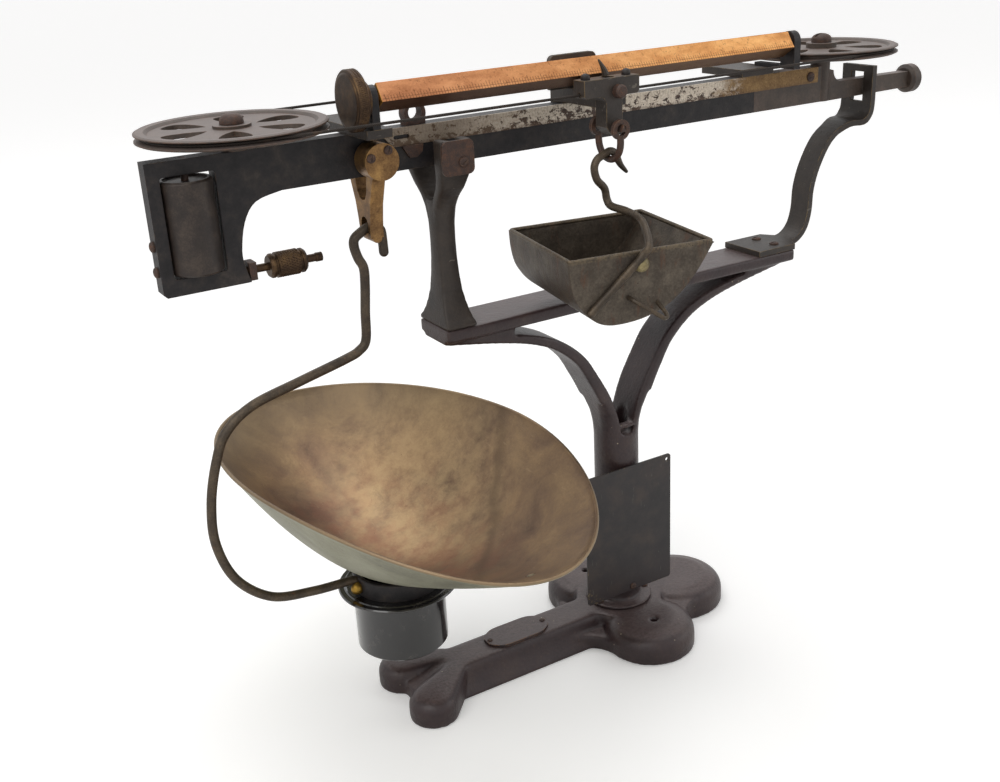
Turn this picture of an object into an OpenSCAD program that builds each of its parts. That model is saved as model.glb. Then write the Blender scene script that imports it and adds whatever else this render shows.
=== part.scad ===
// Counter beam scale with a swinging pan, a sliding poise and a small loading bucket.
// X runs along the beam, +Y away from the viewer, +Z up. The origin lies on the floor
// on the column axis, midway between the two hold-down holes.

/* [Base] */
// Height of the lobes above the floor
base_h = 22; // [16:0.5:30]
// Height of the raised pad on the lobes and the arm
pad_h = 1.5; // [0.5:0.25:3]
// Radius of the front and rear lobes
lobe_r = 35.6; // [30:0.2:42]
// Distance from the column axis to the front and rear lobe centres
lobe_y = 41.2; // [36:0.2:48]
// Radius of the tail lobe
tail_r = 39.6; // [32:0.2:46]
// Distance from the column axis to the tail lobe centre
tail_x = 58; // [50:1:70]
// Radius of the rounded upper edge of the lobes
lobe_edge = 11; // [6:0.5:14]
// Reach of the long arm to the notch between its toes
arm_reach = 194; // [150:1:230]
// Width of the long arm across its top
arm_w = 30; // [24:1:40]
// Spread of the arm at the floor on each side
arm_flare = 9.5; // [4:0.5:14]
// Radius of each toe at the end of the arm
toe_r = 18.5; // [14:0.5:22]
// Distance of each toe centre from the arm's middle
toe_y = 25.5; // [21:0.5:30]
// Diameter of the two hold-down holes
hold_d = 5.5; // [4:0.5:8]
// Distance between the two hold-down holes
hold_pitch = 94; // [84:1:104]
// Distance of the cover plate from the column axis
cover_x = 99; // [80:1:120]
// Length of the cover plate
cover_l = 54; // [40:1:64]
// Width of the cover plate
cover_w = 26; // [18:1:28]
// Thickness of the cover plate
cover_t = 2; // [1:0.25:4]

/* [Column and fork] */
// Radius of the round column
col_r = 17.3; // [14:0.1:21]
// Radius of the column's foot disc
foot_r = 27; // [23:0.5:32]
// Thickness of the foot disc
foot_t = 2.5; // [1.5:0.25:5]
// Height of the crotch where the column splits
crotch_z = 176; // [150:1:200]
// Height of the platform's top above the floor
plat_z = 289; // [270:1:310]
// Thickness of the platform
plat_t = 9; // [6:0.5:14]
// Width of the platform
plat_w = 41; // [34:0.5:50]
// Thickness of the curved fork arms
fork_t = 12; // [9:0.5:15]
// Width of the curved fork arms
fork_w = 31; // [24:0.5:34]

/* [Bearing pillar] */
// Distance from the column axis to the fulcrum
fulcrum_x = 139.5; // [120:0.5:150]
// Height of the fulcrum above the platform
fulcrum_h = 119; // [100:1:140]
// Width of the pillar's foot along the beam
pillar_w = 23; // [18:0.5:28]
// Width of the pillar's slender neck
neck_w = 15.8; // [12:0.2:18]
// Space between the two horns at the fulcrum
horn_gap = 32; // [28:0.5:40]
// Thickness of each horn
horn_t = 11; // [8:0.5:14]
// Thickness of the bearing plates
plate_t = 2; // [1:0.25:4]

/* [Beam] */
// Thickness of the beam
beam_t = 12; // [8:0.5:15]
// Height of the straight bar
bar_h = 27; // [22:0.5:32]
// Distance of the fulcrum edge above the bar's underside
edge_up = 10; // [8:0.5:13]
// Half angle of the knife edges, in degrees
knife_a = 23; // [18:1:26]
// Height of the beam's two knives
knife_h = 5.4; // [4.6:0.1:5.5]
// Reach of the beam's left end from the column axis
left_x = 329.5; // [315:0.5:350]
// Width of the frame at the beam's left end
frame_w = 54; // [48:0.5:60]
// Depth of that frame below the bar's top
frame_d = 79.5; // [70:0.5:90]
// Place of the joint between the two beam castings
seam_x = 127.7; // [110:0.1:150]
// Height of the tail that passes through the guard loop
tail_h = 13.8; // [10:0.2:16]
// Thickness of the tail
tail_t = 9.5; // [7:0.5:12]
// Reach of the tail past the guard loop to its round knob
tail_past = 51; // [40:1:70]
// Diameter of that knob
knob_d = 22.5; // [16:0.5:28]
// Distance from the load knife to the fulcrum
load_arm = 50.8; // [46:0.1:56]
// Height of the load knife's edge above the fulcrum's edge
load_up = 4; // [0:0.5:6]
// Height of the graduated strip
strip_h = 11.5; // [8:0.5:14]
// Thickness of the graduated strip
strip_t = 1.5; // [0.8:0.1:2.4]
// Radius of the drum weight
drum_r = 15.8; // [10:0.1:16]
// Length of the drum weight
drum_l = 56; // [46:0.5:58]
// Diameter of the balance nut
nut_d = 16.2; // [12:0.2:19]
// Length of the balance nut
nut_l = 24; // [18:0.5:26]

/* [Pulleys and cord] */
// Outer diameter of the two pulleys
wheel_d = 113.2; // [100:0.2:116]
// Thickness of the pulley rims
wheel_t = 6.3; // [5:0.1:8]
// Distance from the column axis to the left pulley's axle
left_hub = 273.1; // [262:0.1:282]
// Distance from the prism's right end to the right pulley's axle
hub_past = 64.3; // [60:0.1:76]
// Height of the pulleys' underside above the bar
wheel_up = 8.7; // [7.5:0.1:12]
// Number of windows in each pulley
wheel_n = 6; // [4:1:8]
// Radius of the cord's run around the pulleys
cord_run = 53; // [46:0.5:53]
// Diameter of the cord
cord_d = 1.8; // [1.2:0.1:2.4]
// Diameter of the pulley axles
axle_d = 8; // [6:0.5:10]

/* [Reading prism] */
// Side of the square reading prism
prism_s = 12.8; // [10:0.2:14]
// Left end of the prism
prism_x0 = -192.6; // [-193:0.2:-180]
// Length of the prism
prism_l = 328.6; // [300:0.2:330]
// Distance of the prism's axis in front of the beam's middle
prism_y = 28.3; // [27:0.1:31]
// Height of the prism's axis above the bar's top
prism_up = 23.2; // [22.8:0.1:26]
// Turn of the prism about its axis at rest, in degrees
prism_turn = 55; // [0:1:90]
// Radius of the prism's knob
knob_r = 18.4; // [14:0.2:19]
// Diameter of the prism's end shafts
shaft_d = 6; // [4:0.5:8]
// Thickness of the cross plates that carry the post and the bracket
cross_t = 5.5; // [4:0.25:6]

/* [Poise] */
// Place of the poise along the beam, at its hanging knife
poise_x = -40; // [-60:1:40]
// Length of the poise block
poise_l = 43; // [38:1:48]
// Thickness of the poise block across the beam
poise_t = 12; // [10:0.5:14]
// Height of the poise block's head
poise_h = 11.4; // [10:0.2:14]
// Width of the poise block's stem
stem_w = 12.6; // [11:0.2:18]
// Depth of the stem below the block's top
stem_d = 36; // [30:0.5:40]
// Distance from the stirrup's middle to each of its eyes
eye_y = 12; // [10.5:0.5:14]
// Outer radius of the stirrup's eyes
eye_r = 6.5; // [6:0.1:8]
// Radius of the holes in those eyes
eye_hole = 3.6; // [3.4:0.1:4.2]
// Radius of the stirrup's wire
stirrup_r = 2.3; // [1.8:0.1:2.8]

/* [Bucket] */
// Length of the bucket across its curved sides
bucket_w = 101; // [90:1:112]
// Distance between the bucket's flat end walls
bucket_l = 97; // [84:1:104]
// Depth of the bucket
bucket_d = 44.5; // [36:0.5:50]
// Drop from the hook to the bucket's rim
bucket_drop = 50.5; // [46:0.5:60]
// Turn of the bucket about the vertical, in degrees
bucket_turn = -9.5; // [-14:0.5:-4]
// Thickness of the bucket's sheet
sheet_t = 1.2; // [0.8:0.1:2]
// Radius of the rolled wire in the bucket's rim
roll_r = 1.4; // [1.2:0.1:2.4]
// Radius of the bucket's hanger wire
hanger_r = 2.6; // [2:0.1:3]

/* [Shackle and bow] */
// Radius of the shackle's round bosses
boss_r = 11.5; // [10:0.1:13]
// Thickness of each boss
boss_t = 14.5; // [10:0.5:16]
// Thickness of the shackle's body along the beam
shackle_t = 9; // [7:0.5:11]
// Radius of the bearing holes on the load knife
seat_r = 5; // [4.8:0.1:6]
// Distance from the load knife down to the shackle's cross bar
shackle_l = 53.8; // [50:0.1:60]
// Radius of the cross bar that holds the bow
bar_r = 3.2; // [2.6:0.1:3.6]
// Radius of the bow's round rod
bow_r = 3.175; // [2.5:0.025:3.5]
// Drop from the cross bar to the rod's joint with the ring
bow_drop = 248; // [220:1:270]
// Reach of the bow to the left of the shackle
bow_out = 130.5; // [124:0.5:150]

/* [Ring, cup and pan] */
// Outer radius of the ring that carries the pan
ring_r = 32; // [28:0.5:38]
// Wall of that ring
ring_t = 4; // [3:0.25:5]
// Height of that ring
ring_h = 13; // [10:0.5:18]
// Height of the ring's top above the bow's end
ring_up = 8.5; // [5:0.5:10]
// Radius of the cup under the ring
cup_r = 33; // [30:0.5:38]
// Height of the cup
cup_h = 48.5; // [36:0.5:54]
// Radius of the cup's flange
flange_r = 43.2; // [40:0.2:50]
// Thickness of the cup's flange
flange_t = 2.5; // [2:0.25:4]
// Half length of the pan
pan_b = 169.4; // [150:0.2:185]
// Half width of the pan
pan_a = 103.4; // [85:0.2:110]
// Depth of the pan at its long sides
pan_d = 84.4; // [70:0.2:95]
// Drop of the rim towards the pouring lip at the near end
pan_lip = 28; // [0:0.5:36]
// Drop of the rim at the far end
pan_dip = 7; // [0:0.5:14]
// Power of the pan's section, 2 for a parabola and more for a flatter floor
pan_p = 2.1; // [2:0.05:2.8]
// Power of the section at the pouring lip, where it rises more evenly
lip_p = 1.4; // [1.2:0.05:2]
// Offset of the rim's middle from the pan's foot, across the pan
pan_across = 8.4; // [0:0.2:10]
// Offset of the rim's middle from the pan's foot, along the pan
pan_along = 3.6; // [0:0.2:8]
// Thickness of the pan's sheet
pan_t = 1.2; // [0.8:0.1:2]
// Turn of the pan about the vertical, in degrees
pan_turn = 9.9; // [0:0.1:14]
// Diameter of the hanging hole near the pan's rim
pan_hole = 5.5; // [3:0.5:8]

/* [Guard loop] */
// Distance from the right pulley's axle to the loop
loop_past = 43.7; // [38:0.1:52]
// Thickness of the loop's strap
strap_t = 4.5; // [3:0.25:6]
// Width of the loop's strap
strap_w = 19; // [14:0.5:24]
// Outer width of the loop
loop_w = 31.5; // [26:0.5:40]
// Width of the loop's window
window_w = 12.8; // [12:0.2:18]
// Height of the loop's window
window_h = 23; // [20:0.5:28]
// Length of the loop's foot on the platform
loop_foot = 37; // [26:1:44]

/* [Card] */
// Width of the card
card_w = 81; // [60:1:90]
// Height of the card
card_h = 110; // [80:1:120]
// Thickness of the card
card_t = 1.5; // [0.8:0.1:3]
// Height of the card's lower edge above the floor
card_z = 37; // [32:1:60]
// Space between the card and the column
card_gap = 1.6; // [0.2:0.1:3]

/* [Fits] */
// Radial clearance of turning fits
run_gap = 0.05; // [0.02:0.01:0.1]
// Clearance between pieces that pass or slide
slide_gap = 0.3; // [0.2:0.05:0.6]

/* [Hidden] */
$fn = 48;

iron = [0.18, 0.15, 0.14];
black_iron = [0.13, 0.13, 0.13];
green_iron = [0.2, 0.21, 0.18];
rust = [0.34, 0.2, 0.14];
brass = [0.62, 0.47, 0.22];
copper = [0.86, 0.52, 0.24];
nickel = [0.66, 0.63, 0.55];
sheet_metal = [0.36, 0.32, 0.27];
pan_brass = [0.5, 0.44, 0.32];
gloss_black = [0.06, 0.06, 0.06];

base_top = base_h + pad_h;
fulcrum_z = plat_z + fulcrum_h;
bar_z0 = fulcrum_z - edge_up;
bar_z1 = bar_z0 + bar_h;
load_x = -fulcrum_x - load_arm;
load_z = fulcrum_z + load_up;
strip_z0 = bar_z1 - strip_h;
strip_y = -beam_t / 2;
frame_x1 = -left_x + frame_w;
frame_z0 = bar_z1 - frame_d;
drum_x = -left_x + 24.1;
drum_z0 = frame_z0 + 11.5;
wheel_z = bar_z1 + wheel_up;
cord_z = wheel_z + wheel_t / 2;
wheel_r = wheel_d / 2;
prism_z = bar_z1 + prism_up;
prism_x1 = prism_x0 + prism_l;
right_hub = prism_x1 + hub_past;
loop_x = right_hub + loop_past;
knob_x = loop_x + tail_past;
strip_x0 = load_x + 6.3;
strip_x1 = right_hub - 9.3;
plate_front = -beam_t / 2 - strip_t;
cross_z1 = bar_z1 + cross_t;
poise_z1 = cord_z + 9.2;
poise_z0 = poise_z1 - poise_h;
poise_mid = -cord_run;
poise_front = poise_mid - poise_t / 2;
poise_x0 = poise_x - 23;
hang_z = poise_z1 - 28.6;
hang_h = 4.6;
eye_z = hang_z + run_gap - eye_hole;
loop_z = eye_z - 8.5;
hook_z = loop_z - eye_y;
rim_z = hook_z - bucket_drop;
bucket_x = poise_x - 2.6;
bow_z = load_z - shackle_l;
ring_z1 = bow_z - bow_drop + ring_up;
ring_z0 = ring_z1 - ring_h;
ring_x = load_x - 4.7;
pan_z0 = ring_z1 + slide_gap - (pan_d - pan_dip) * pow((ring_r - ring_t) / (pan_b + pan_along), pan_p);
plat_x0 = -fulcrum_x - pillar_w / 2;
plat_x1 = loop_x - 82;
balance_z = frame_z0 + 6;
nut_x = frame_x1 + 13.5;
rod_end = frame_x1 + 49;
horn_y = horn_gap / 2;
window_z0 = bar_z0 - 5;

// Curves: a smooth run through chosen points, an arc, and a rounded rectangle's outline
function curve_point(a, b, c, d, t) =
    0.5 * (2 * b + (c - a) * t + (2 * a - 5 * b + 4 * c - d) * t * t
        + (3 * b - a - 3 * c + d) * t * t * t);
function curve(p, n) = let (k = len(p) - 1) [for (i = [0:k - 1], j = [0:n - 1])
    curve_point(p[max(i - 1, 0)], p[i], p[i + 1], p[min(i + 2, k)], j / n), p[k]];
function arc(c, r, a0, a1, n) = [for (i = [0:n])
    let (a = a0 + (a1 - a0) * i / n) c + r * [cos(a), sin(a)]];
function round_rect(x0, z0, x1, z1, r) = concat(
    arc([x1 - r, z0 + r], r, -90, 0, 4), arc([x1 - r, z1 - r], r, 0, 90, 4),
    arc([x0 + r, z1 - r], r, 90, 180, 4), arc([x0 + r, z0 + r], r, 180, 270, 4));
function unit(v) = v / norm(v);
function step_dir(p, i) = unit(p[min(i + 1, len(p) - 1)] - p[max(i - 1, 0)]);
function side_of(p, i) = let (d = step_dir(p, i)) [-d[1], d[0]];
function ribbon_points(p, t0, t1) = let (k = len(p) - 1) concat(
    [for (i = [0:k]) p[i] + side_of(p, i) * (t0 + (t1 - t0) * i / k) / 2],
    [for (i = [k:-1:0]) p[i] - side_of(p, i) * (t0 + (t1 - t0) * i / k) / 2]);

// A flat outline in X and Z, given thickness along Y from y0 to y1
module upright(y0, y1) {
    translate([0, y1, 0]) rotate([90, 0, 0]) linear_extrude(y1 - y0) children();
}

// A flat outline in Y and Z, given thickness along X from x0 to x1
module crosswise(x0, x1) {
    translate([x0, 0, 0]) rotate([90, 0, 90]) linear_extrude(x1 - x0) children();
}

module along_y(x, z, y0, y1, r) {
    translate([x, y1, z]) rotate([90, 0, 0]) cylinder(h = y1 - y0, r = r);
}

module along_x(y, z, x0, x1, r) {
    translate([x0, y, z]) rotate([0, 90, 0]) cylinder(h = x1 - x0, r = r);
}

// A round rod along a path of points, with one radius or one for each point
module rod(p, r, sides = 12, up = [0, 1, 0]) {
    k = len(p);
    rings = [for (i = [0:k - 1]) let (d = step_dir(p, i), a = unit(cross(d, up)),
        b = cross(d, a), q = is_list(r) ? r[i] : r)
        for (j = [0:sides - 1]) let (w = 360 * j / sides) p[i] + q * (cos(w) * a + sin(w) * b)];
    polyhedron(rings, concat([[for (j = [0:sides - 1]) j]],
        [for (i = [0:k - 2], j = [0:sides - 1]) let (a = i * sides + j, b = i * sides + (j + 1) % sides)
            [a, a + sides, b + sides, b]],
        [[for (j = [sides - 1:-1:0]) (k - 1) * sides + j]]), convexity = 6);
}

// A body through sections given as [height, middle y, half width x, half width y, rounding],
// where the rounding runs from 0 for a rectangle to 1 for an oval
module loft(x, s) {
    n = 20;
    k = len(s);
    pts = [for (q = s, j = [0:n - 1]) let (a = 360 * (j + 0.5) / n,
        m = 1 / max(abs(cos(a)), abs(sin(a))), e = m + (1 - m) * q[4])
        [x + e * cos(a) * q[2], q[1] + e * sin(a) * q[3], q[0]]];
    polyhedron(pts, concat([[for (j = [0:n - 1]) j]],
        [for (i = [0:k - 2], j = [0:n - 1]) let (a = n * i + j, b = n * i + (j + 1) % n)
            [a, a + n, b + n, b]],
        [[for (j = [n - 1:-1:0]) n * (k - 1) + j]]), convexity = 4);
}

// A slotted screw head standing on z = 0, with its shank below
module screw(r, h, shank_r, shank_l) {
    difference() {
        rotate_extrude() polygon(concat([[0, 0], [r, 0]],
            [for (i = [0:5]) [r * cos(15 * i), h * (0.35 + 0.65 * sin(15 * i))]], [[0, h]]));
        translate([-r - 1, -0.12 * r - 0.2, 0.62 * h]) cube([2 * r + 2, 0.24 * r + 0.4, h]);
    }
    translate([0, 0, -shank_l]) cylinder(h = shank_l, r = shank_r);
}

function dome(r, h, e) = concat([[0, 0], [r, 0]], arc([r - e, h - e], e, 0, 90, 6), [[0, h]]);
function knife(h) = [[0, 0], [h * tan(knife_a), h], [-h * tan(knife_a), h]];

// Base
fillet_past = 0.15; // a fillet's curve passes this far into the lobes, so that it crosses them cleanly
module fillet(c0, r0, c1, r1, f, h) {
    d = norm(c1 - c0);
    a = r0 + f;
    b = r1 + f;
    u = (a * a - b * b + d * d) / (2 * d);
    v = sqrt(a * a - u * u);
    e = (c1 - c0) / d;
    for (s = [-1, 1]) {
        c = c0 + u * e + s * v * [-e[1], e[0]];
        linear_extrude(h) difference() {
            polygon([c0, c0 + (c - c0) * r0 / a, c, c1 + (c - c1) * r1 / b, c1]);
            translate(c) circle(f + fillet_past);
        }
    }
}

module lobe(p, r) {
    translate(p) rotate_extrude() polygon(dome(r, base_h, lobe_edge));
    translate(p) cylinder(h = base_top, r = r - lobe_edge - 2);
}

module toe(s) {
    hull() {
        translate([-arm_reach + 7, s * toe_y, 0])
            rotate_extrude() polygon(dome(toe_r, base_h - 1.5, toe_r * 0.5));
        translate([-arm_reach + 7 + 1.6 * toe_r, s * (arm_w / 2 - 6), 0])
            rotate_extrude() polygon(dome(8, base_top - 0.5, 3));
    }
}

module arm() {
    h = arm_w / 2;
    half = [[h + arm_flare, 0], [h + arm_flare * 0.84, base_h * 0.12],
        [h + arm_flare * 0.5, base_h * 0.34], [h + arm_flare * 0.2, base_h * 0.64],
        [h + arm_flare * 0.06, base_top - 3.6], [h - 0.9, base_top - 1.2], [h - 3.4, base_top]];
    intersection() {
        crosswise(-arm_reach, 0) polygon(concat(half,
            [for (i = [len(half) - 1:-1:0]) [-half[i][0], half[i][1]]]));
        upright(-60, 60) polygon([[-arm_reach, 0], [-arm_reach, base_h * 0.5],
            [-arm_reach + 9, base_h * 0.6], [-arm_reach + 20, base_h * 0.8],
            [-arm_reach + 34, base_top - 0.8], [-arm_reach + 46, base_top], [1, base_top], [1, 0]]);
    }
}

module base_casting() color(iron) difference() {
    union() {
        for (s = [-1, 1]) lobe([0, s * lobe_y], lobe_r);
        lobe([tail_x, 0], tail_r);
        cylinder(h = base_top, r = foot_r + 8);
        for (s = [-1, 1]) fillet([0, s * lobe_y], lobe_r, [tail_x, 0], tail_r, 12, base_h - 4);
        for (s = [-1, 1]) fillet([0, s * lobe_y], lobe_r, [-lobe_r - 20, 0], arm_w / 2 + 4, 26,
            base_h * 0.55);
        arm();
        for (s = [-1, 1]) toe(s);
    }
    for (s = [-1, 1]) translate([0, s * hold_pitch / 2, -1]) cylinder(h = base_top + 2, d = hold_d);
    translate([0, 0, base_top - 8]) cylinder(h = 9, d = 4);
    for (s = [-1, 1]) translate([-cover_x + s * cover_bolt, 0, base_top - 5])
        cylinder(h = 6, r = 1.2);
}

cover_bolt = cover_l / 2 - 3;
module base_cover() color(green_iron) difference() {
    w = cover_w / 2;
    l = cover_l / 2;
    translate([-cover_x, 0, base_top]) linear_extrude(cover_t) polygon(concat(
        curve([[l, w * 0.3], [l - 3, w * 0.62], [l - 10, w * 0.94], [l - 17, w]], 3),
        curve([[17 - l, w], [10 - l, w * 0.94], [3 - l, w * 0.62], [-l, w * 0.3]], 3),
        curve([[-l, -w * 0.3], [3 - l, -w * 0.62], [10 - l, -w * 0.94], [17 - l, -w]], 3),
        curve([[l - 17, -w], [l - 10, -w * 0.94], [l - 3, -w * 0.62], [l, -w * 0.3]], 3)));
    for (s = [-1, 1]) translate([-cover_x + s * cover_bolt, 0, base_top - 1])
        cylinder(h = cover_t + 2, r = 1.2);
}

module cover_screws() color(rust) for (s = [-1, 1])
    translate([-cover_x + s * cover_bolt, 0, base_top + cover_t]) rotate(60) screw(2.1, 1.1, 1.2, cover_t + 4);

// Column, fork and platform
fork_span = plat_z - plat_t - crotch_z;
function fork_path() = curve([for (q = [[11.3, -0.3], [11.4, 0], [14.2, 0.14], [20, 0.29], [29, 0.45],
    [41, 0.63], [60, 0.78], [82, 0.87], [108, 0.93], [132, 0.97], [-plat_x0 - 0.1, 1]])
    [q[0], crotch_z + q[1] * fork_span]], 4);

// An arm of the fork: round as the column where it leaves it, flat-sided further up
module fork_arm() intersection() {
    upright(-fork_w / 2, fork_w / 2) polygon(ribbon_points(fork_path(), fork_t, fork_t * 0.4));
    rotate_extrude($fn = 96) polygon([[0, crotch_z - fork_span], [col_r, crotch_z - fork_span],
        [col_r, crotch_z - 6], [col_r + 0.8, crotch_z + 4], [col_r + 3, crotch_z + 14],
        [col_r + 8, crotch_z + 26], [plat_x1, crotch_z + 60], [plat_x1, plat_z], [0, plat_z]]);
}

module fork_casting() color(iron) difference() {
    union() {
        translate([0, 0, base_top]) rotate_extrude() polygon(concat([[0, 0], [foot_r, 0],
            [foot_r, foot_t]], arc([col_r + 2, foot_t + 2], 2, 270, 180, 4),
            [[col_r, crotch_z - base_top + 4], [0, crotch_z - base_top + 4]]));
        fork_arm();
        mirror([1, 0, 0]) fork_arm();
        translate([plat_x0, -plat_w / 2, plat_z - plat_t])
            cube([plat_x1 - plat_x0, plat_w, plat_t]);
        translate([plat_x0 + 6, -plat_w / 2 + 5, plat_z - plat_t - 4])
            cube([50, plat_w - 10, 4]);
    }
    translate([0, 0, crotch_z - 5]) cylinder(h = 40, r = col_r * 0.5);
    upright(-col_r - 1, col_r + 1) polygon(arc([0, crotch_z + 2], 6.6, 180, 360, 12));
    for (s = [-1, 1]) translate([s * (foot_r - 4.8), -5, base_top - 1]) cylinder(h = foot_t + 2, r = 1.8);
    along_y(-0.3, card_z + 3.4, -col_r - 5, -col_r + 7, 1.6);
    for (p = loop_holes) translate([p[0], p[1], plat_z - 6]) cylinder(h = 7, r = 2);
    translate([-fulcrum_x, 0, plat_z - 8]) cylinder(h = 9, r = 3);
}

module foot_screw() color(rust) for (s = [-1, 1])
    translate([s * (foot_r - 4.8), -5, base_top + foot_t]) screw(3.2, 1.5, 1.8, foot_t);

// Pillar and its bearings
function pillar_z(f) = plat_z + f * fulcrum_h;

module horn(s) {
    w = neck_w / 2;
    h = pillar_w / 2;
    y = horn_y + horn_t / 2;
    loft(-fulcrum_x, [[pillar_z(0.6), s * w * 0.5, w * 0.96, w * 0.5, 0.9],
        [pillar_z(0.68), s * w * 0.72, w * 1.02, w * 0.62, 0.8],
        [pillar_z(0.74), s * w * 1.12, w * 1.1, w * 0.7, 0.6],
        [pillar_z(0.8), s * y * 0.7, w * 1.22, horn_t * 0.5, 0.45],
        [pillar_z(0.86), s * y * 0.88, h * 0.93, horn_t * 0.48, 0.3],
        [pillar_z(0.91), s * y * 0.985, h * 0.99, horn_t * 0.49, 0.16], [pillar_z(0.94), s * y, h, horn_t / 2, 0.08],
        [pillar_z(1) + 8, s * y, h, horn_t / 2, 0.08]]);
}

module bearing_pillar() color(green_iron) difference() {
    union() {
        h = pillar_w / 2;
        w = neck_w / 2;
        loft(-fulcrum_x, [[plat_z, 0, h, plat_w / 2, 0.02], [plat_z + 2.5, 0, h, plat_w / 2, 0.02],
            [pillar_z(0.05), 0, h * 0.93, plat_w * 0.42, 0.06], [pillar_z(0.09), 0, h * 0.86, plat_w * 0.355, 0.12],
            [pillar_z(0.14), 0, h * 0.8, plat_w * 0.3, 0.2], [pillar_z(0.2), 0, h * 0.74, plat_w * 0.255, 0.34],
            [pillar_z(0.28), 0, w * 1.02, w * 1.22, 0.5], [pillar_z(0.38), 0, w, w * 1.12, 0.7],
            [pillar_z(0.48), 0, w, w * 1.12, 0.8], [pillar_z(0.58), 0, w, w * 1.2, 0.8],
            [pillar_z(0.66), 0, w * 1.02, w * 1.36, 0.7], [pillar_z(0.72), 0, w * 1.08, w * 1.62, 0.6]]);
        for (s = [-1, 1]) horn(s);
    }
    translate([-fulcrum_x, 0, fulcrum_z]) upright(-60, 60)
        polygon([[0, -run_gap], [4.6, 6], [4.6, 20], [-4.6, 20], [-4.6, 6]]);
    for (s = [-1, 1]) along_y(-fulcrum_x + 3.5, fulcrum_z - 6, s * (horn_y + horn_t) - 4,
        s * (horn_y + horn_t) + 4, 1.8);
    translate([-fulcrum_x, 0, plat_z - 1]) cylinder(h = 9, r = 3);
}

module bearing_plates() color(rust) for (s = [-1, 1]) {
    y = s * (horn_y + horn_t + plate_t / 2);
    difference() {
        upright(y - plate_t / 2, y + plate_t / 2)
            polygon(round_rect(-fulcrum_x - pillar_w / 2, fulcrum_z - 14,
                -fulcrum_x + pillar_w / 2, fulcrum_z + 8, 4));
        along_y(-fulcrum_x + 3.5, fulcrum_z - 6, y - plate_t, y + plate_t, 1.8);
    }
}

module bearing_screws() color(rust) for (s = [-1, 1])
    translate([-fulcrum_x + 3.5, s * (horn_y + horn_t + plate_t), fulcrum_z - 6])
        rotate([s * -90, 0, 0]) rotate(30) screw(3.4, 1.8, 1.8, plate_t + 4);

// Guard loop around the beam's tail
loop_holes = [[plat_x1 - 13, -10], [plat_x1 - 13, 10]];
function strap_path() = concat([[plat_x1 - loop_foot, plat_z + strap_t / 2]],
    curve([[plat_x1, plat_z + strap_t / 2], [plat_x1 + 11, plat_z + 3.4],
    [plat_x1 + 20, plat_z + 11], [plat_x1 + 24.5, plat_z + 24], [plat_x1 + 26, plat_z + 42],
    [plat_x1 + 32, window_z0 - 44], [plat_x1 + 44, window_z0 - 25.5],
    [loop_x - 21, window_z0 - 15.5], [loop_x - 8, window_z0 - 14.5],
    [loop_x - 1.5, window_z0 - 8.5], [loop_x, window_z0]], 4));

module guard_loop() color(green_iron) difference() {
    union() {
        intersection() {
            upright(-30, 30) polygon(ribbon_points(strap_path(), strap_t, strap_t));
            linear_extrude(plat_z * 2) polygon([[plat_x1 - loop_foot - 1, 20],
                [plat_x1, 20], [plat_x1 + 6, strap_w / 2], [loop_x - 30, strap_w / 2],
                [loop_x - 5, loop_w / 2], [loop_x + 9, loop_w / 2], [loop_x + 9, -loop_w / 2],
                [loop_x - 5, -loop_w / 2], [loop_x - 30, -strap_w / 2], [plat_x1 + 6, -strap_w / 2],
                [plat_x1, -20], [plat_x1 - loop_foot - 1, -20]]);
        }
        translate([loop_x - strap_t / 2, -loop_w / 2, window_z0])
            cube([strap_t, loop_w, window_h + 5]);
    }
    translate([loop_x - strap_t, -window_w / 2, window_z0]) cube([2 * strap_t, window_w, window_h]);
    for (p = loop_holes) translate([p[0], p[1], plat_z - 1]) cylinder(h = strap_t + 2, r = 2);
}

module loop_screws() color(rust) for (p = loop_holes)
    translate([p[0], p[1], plat_z + strap_t]) screw(3.6, 1.8, 2, strap_t + 4);

// Card
card_y = -col_r - card_gap;
module card() color([0.16, 0.2, 0.2]) difference() {
    upright(card_y - card_t, card_y)
        polygon(round_rect(-card_w / 2 - 3, card_z, card_w / 2 - 3, card_z + card_h, 2));
    along_y(card_w / 2 - 6.5, card_z + card_h - 4, card_y - 5, card_y + 5, 1.5);
    along_y(-0.3, card_z + 3.4, card_y - 5, card_y + 5, 1.6);
}

module card_screw() color(rust) {
    translate([-0.3, card_y - card_t, card_z + 3.4]) rotate([90, 0, 0]) screw(2.8, 1.4, 1.6, card_t + 6);
    difference() {
        along_y(-0.3, card_z + 3.4, card_y, -col_r + 0.1, 3);
        along_y(-0.3, card_z + 3.4, card_y - 1, -col_r + 1, 1.6);
        cylinder(h = card_z + 20, r = col_r, $fn = 96);
    }
}

// Beam
module knife_hole(x, z, h, turn) {
    translate([x, 0, z]) rotate([0, turn, 0]) upright(-beam_t, beam_t) polygon(knife(h));
}

module frame_outline() {
    arch = curve([[frame_x1, frame_z0], [frame_x1 - 2.6, frame_z0 + 10],
        [frame_x1 - 3.4, frame_z0 + 20], [frame_x1 + 0.5, frame_z0 + 37],
        [frame_x1 + 9, bar_z0 - 4.2], [frame_x1 + 26, bar_z0]], 4);
    polygon(concat([[-left_x + 2, frame_z0]], arch, [[seam_x, bar_z0], [seam_x, bar_z1],
        [-left_x, bar_z1], [-left_x, frame_z0 + 2]]));
}

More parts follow.
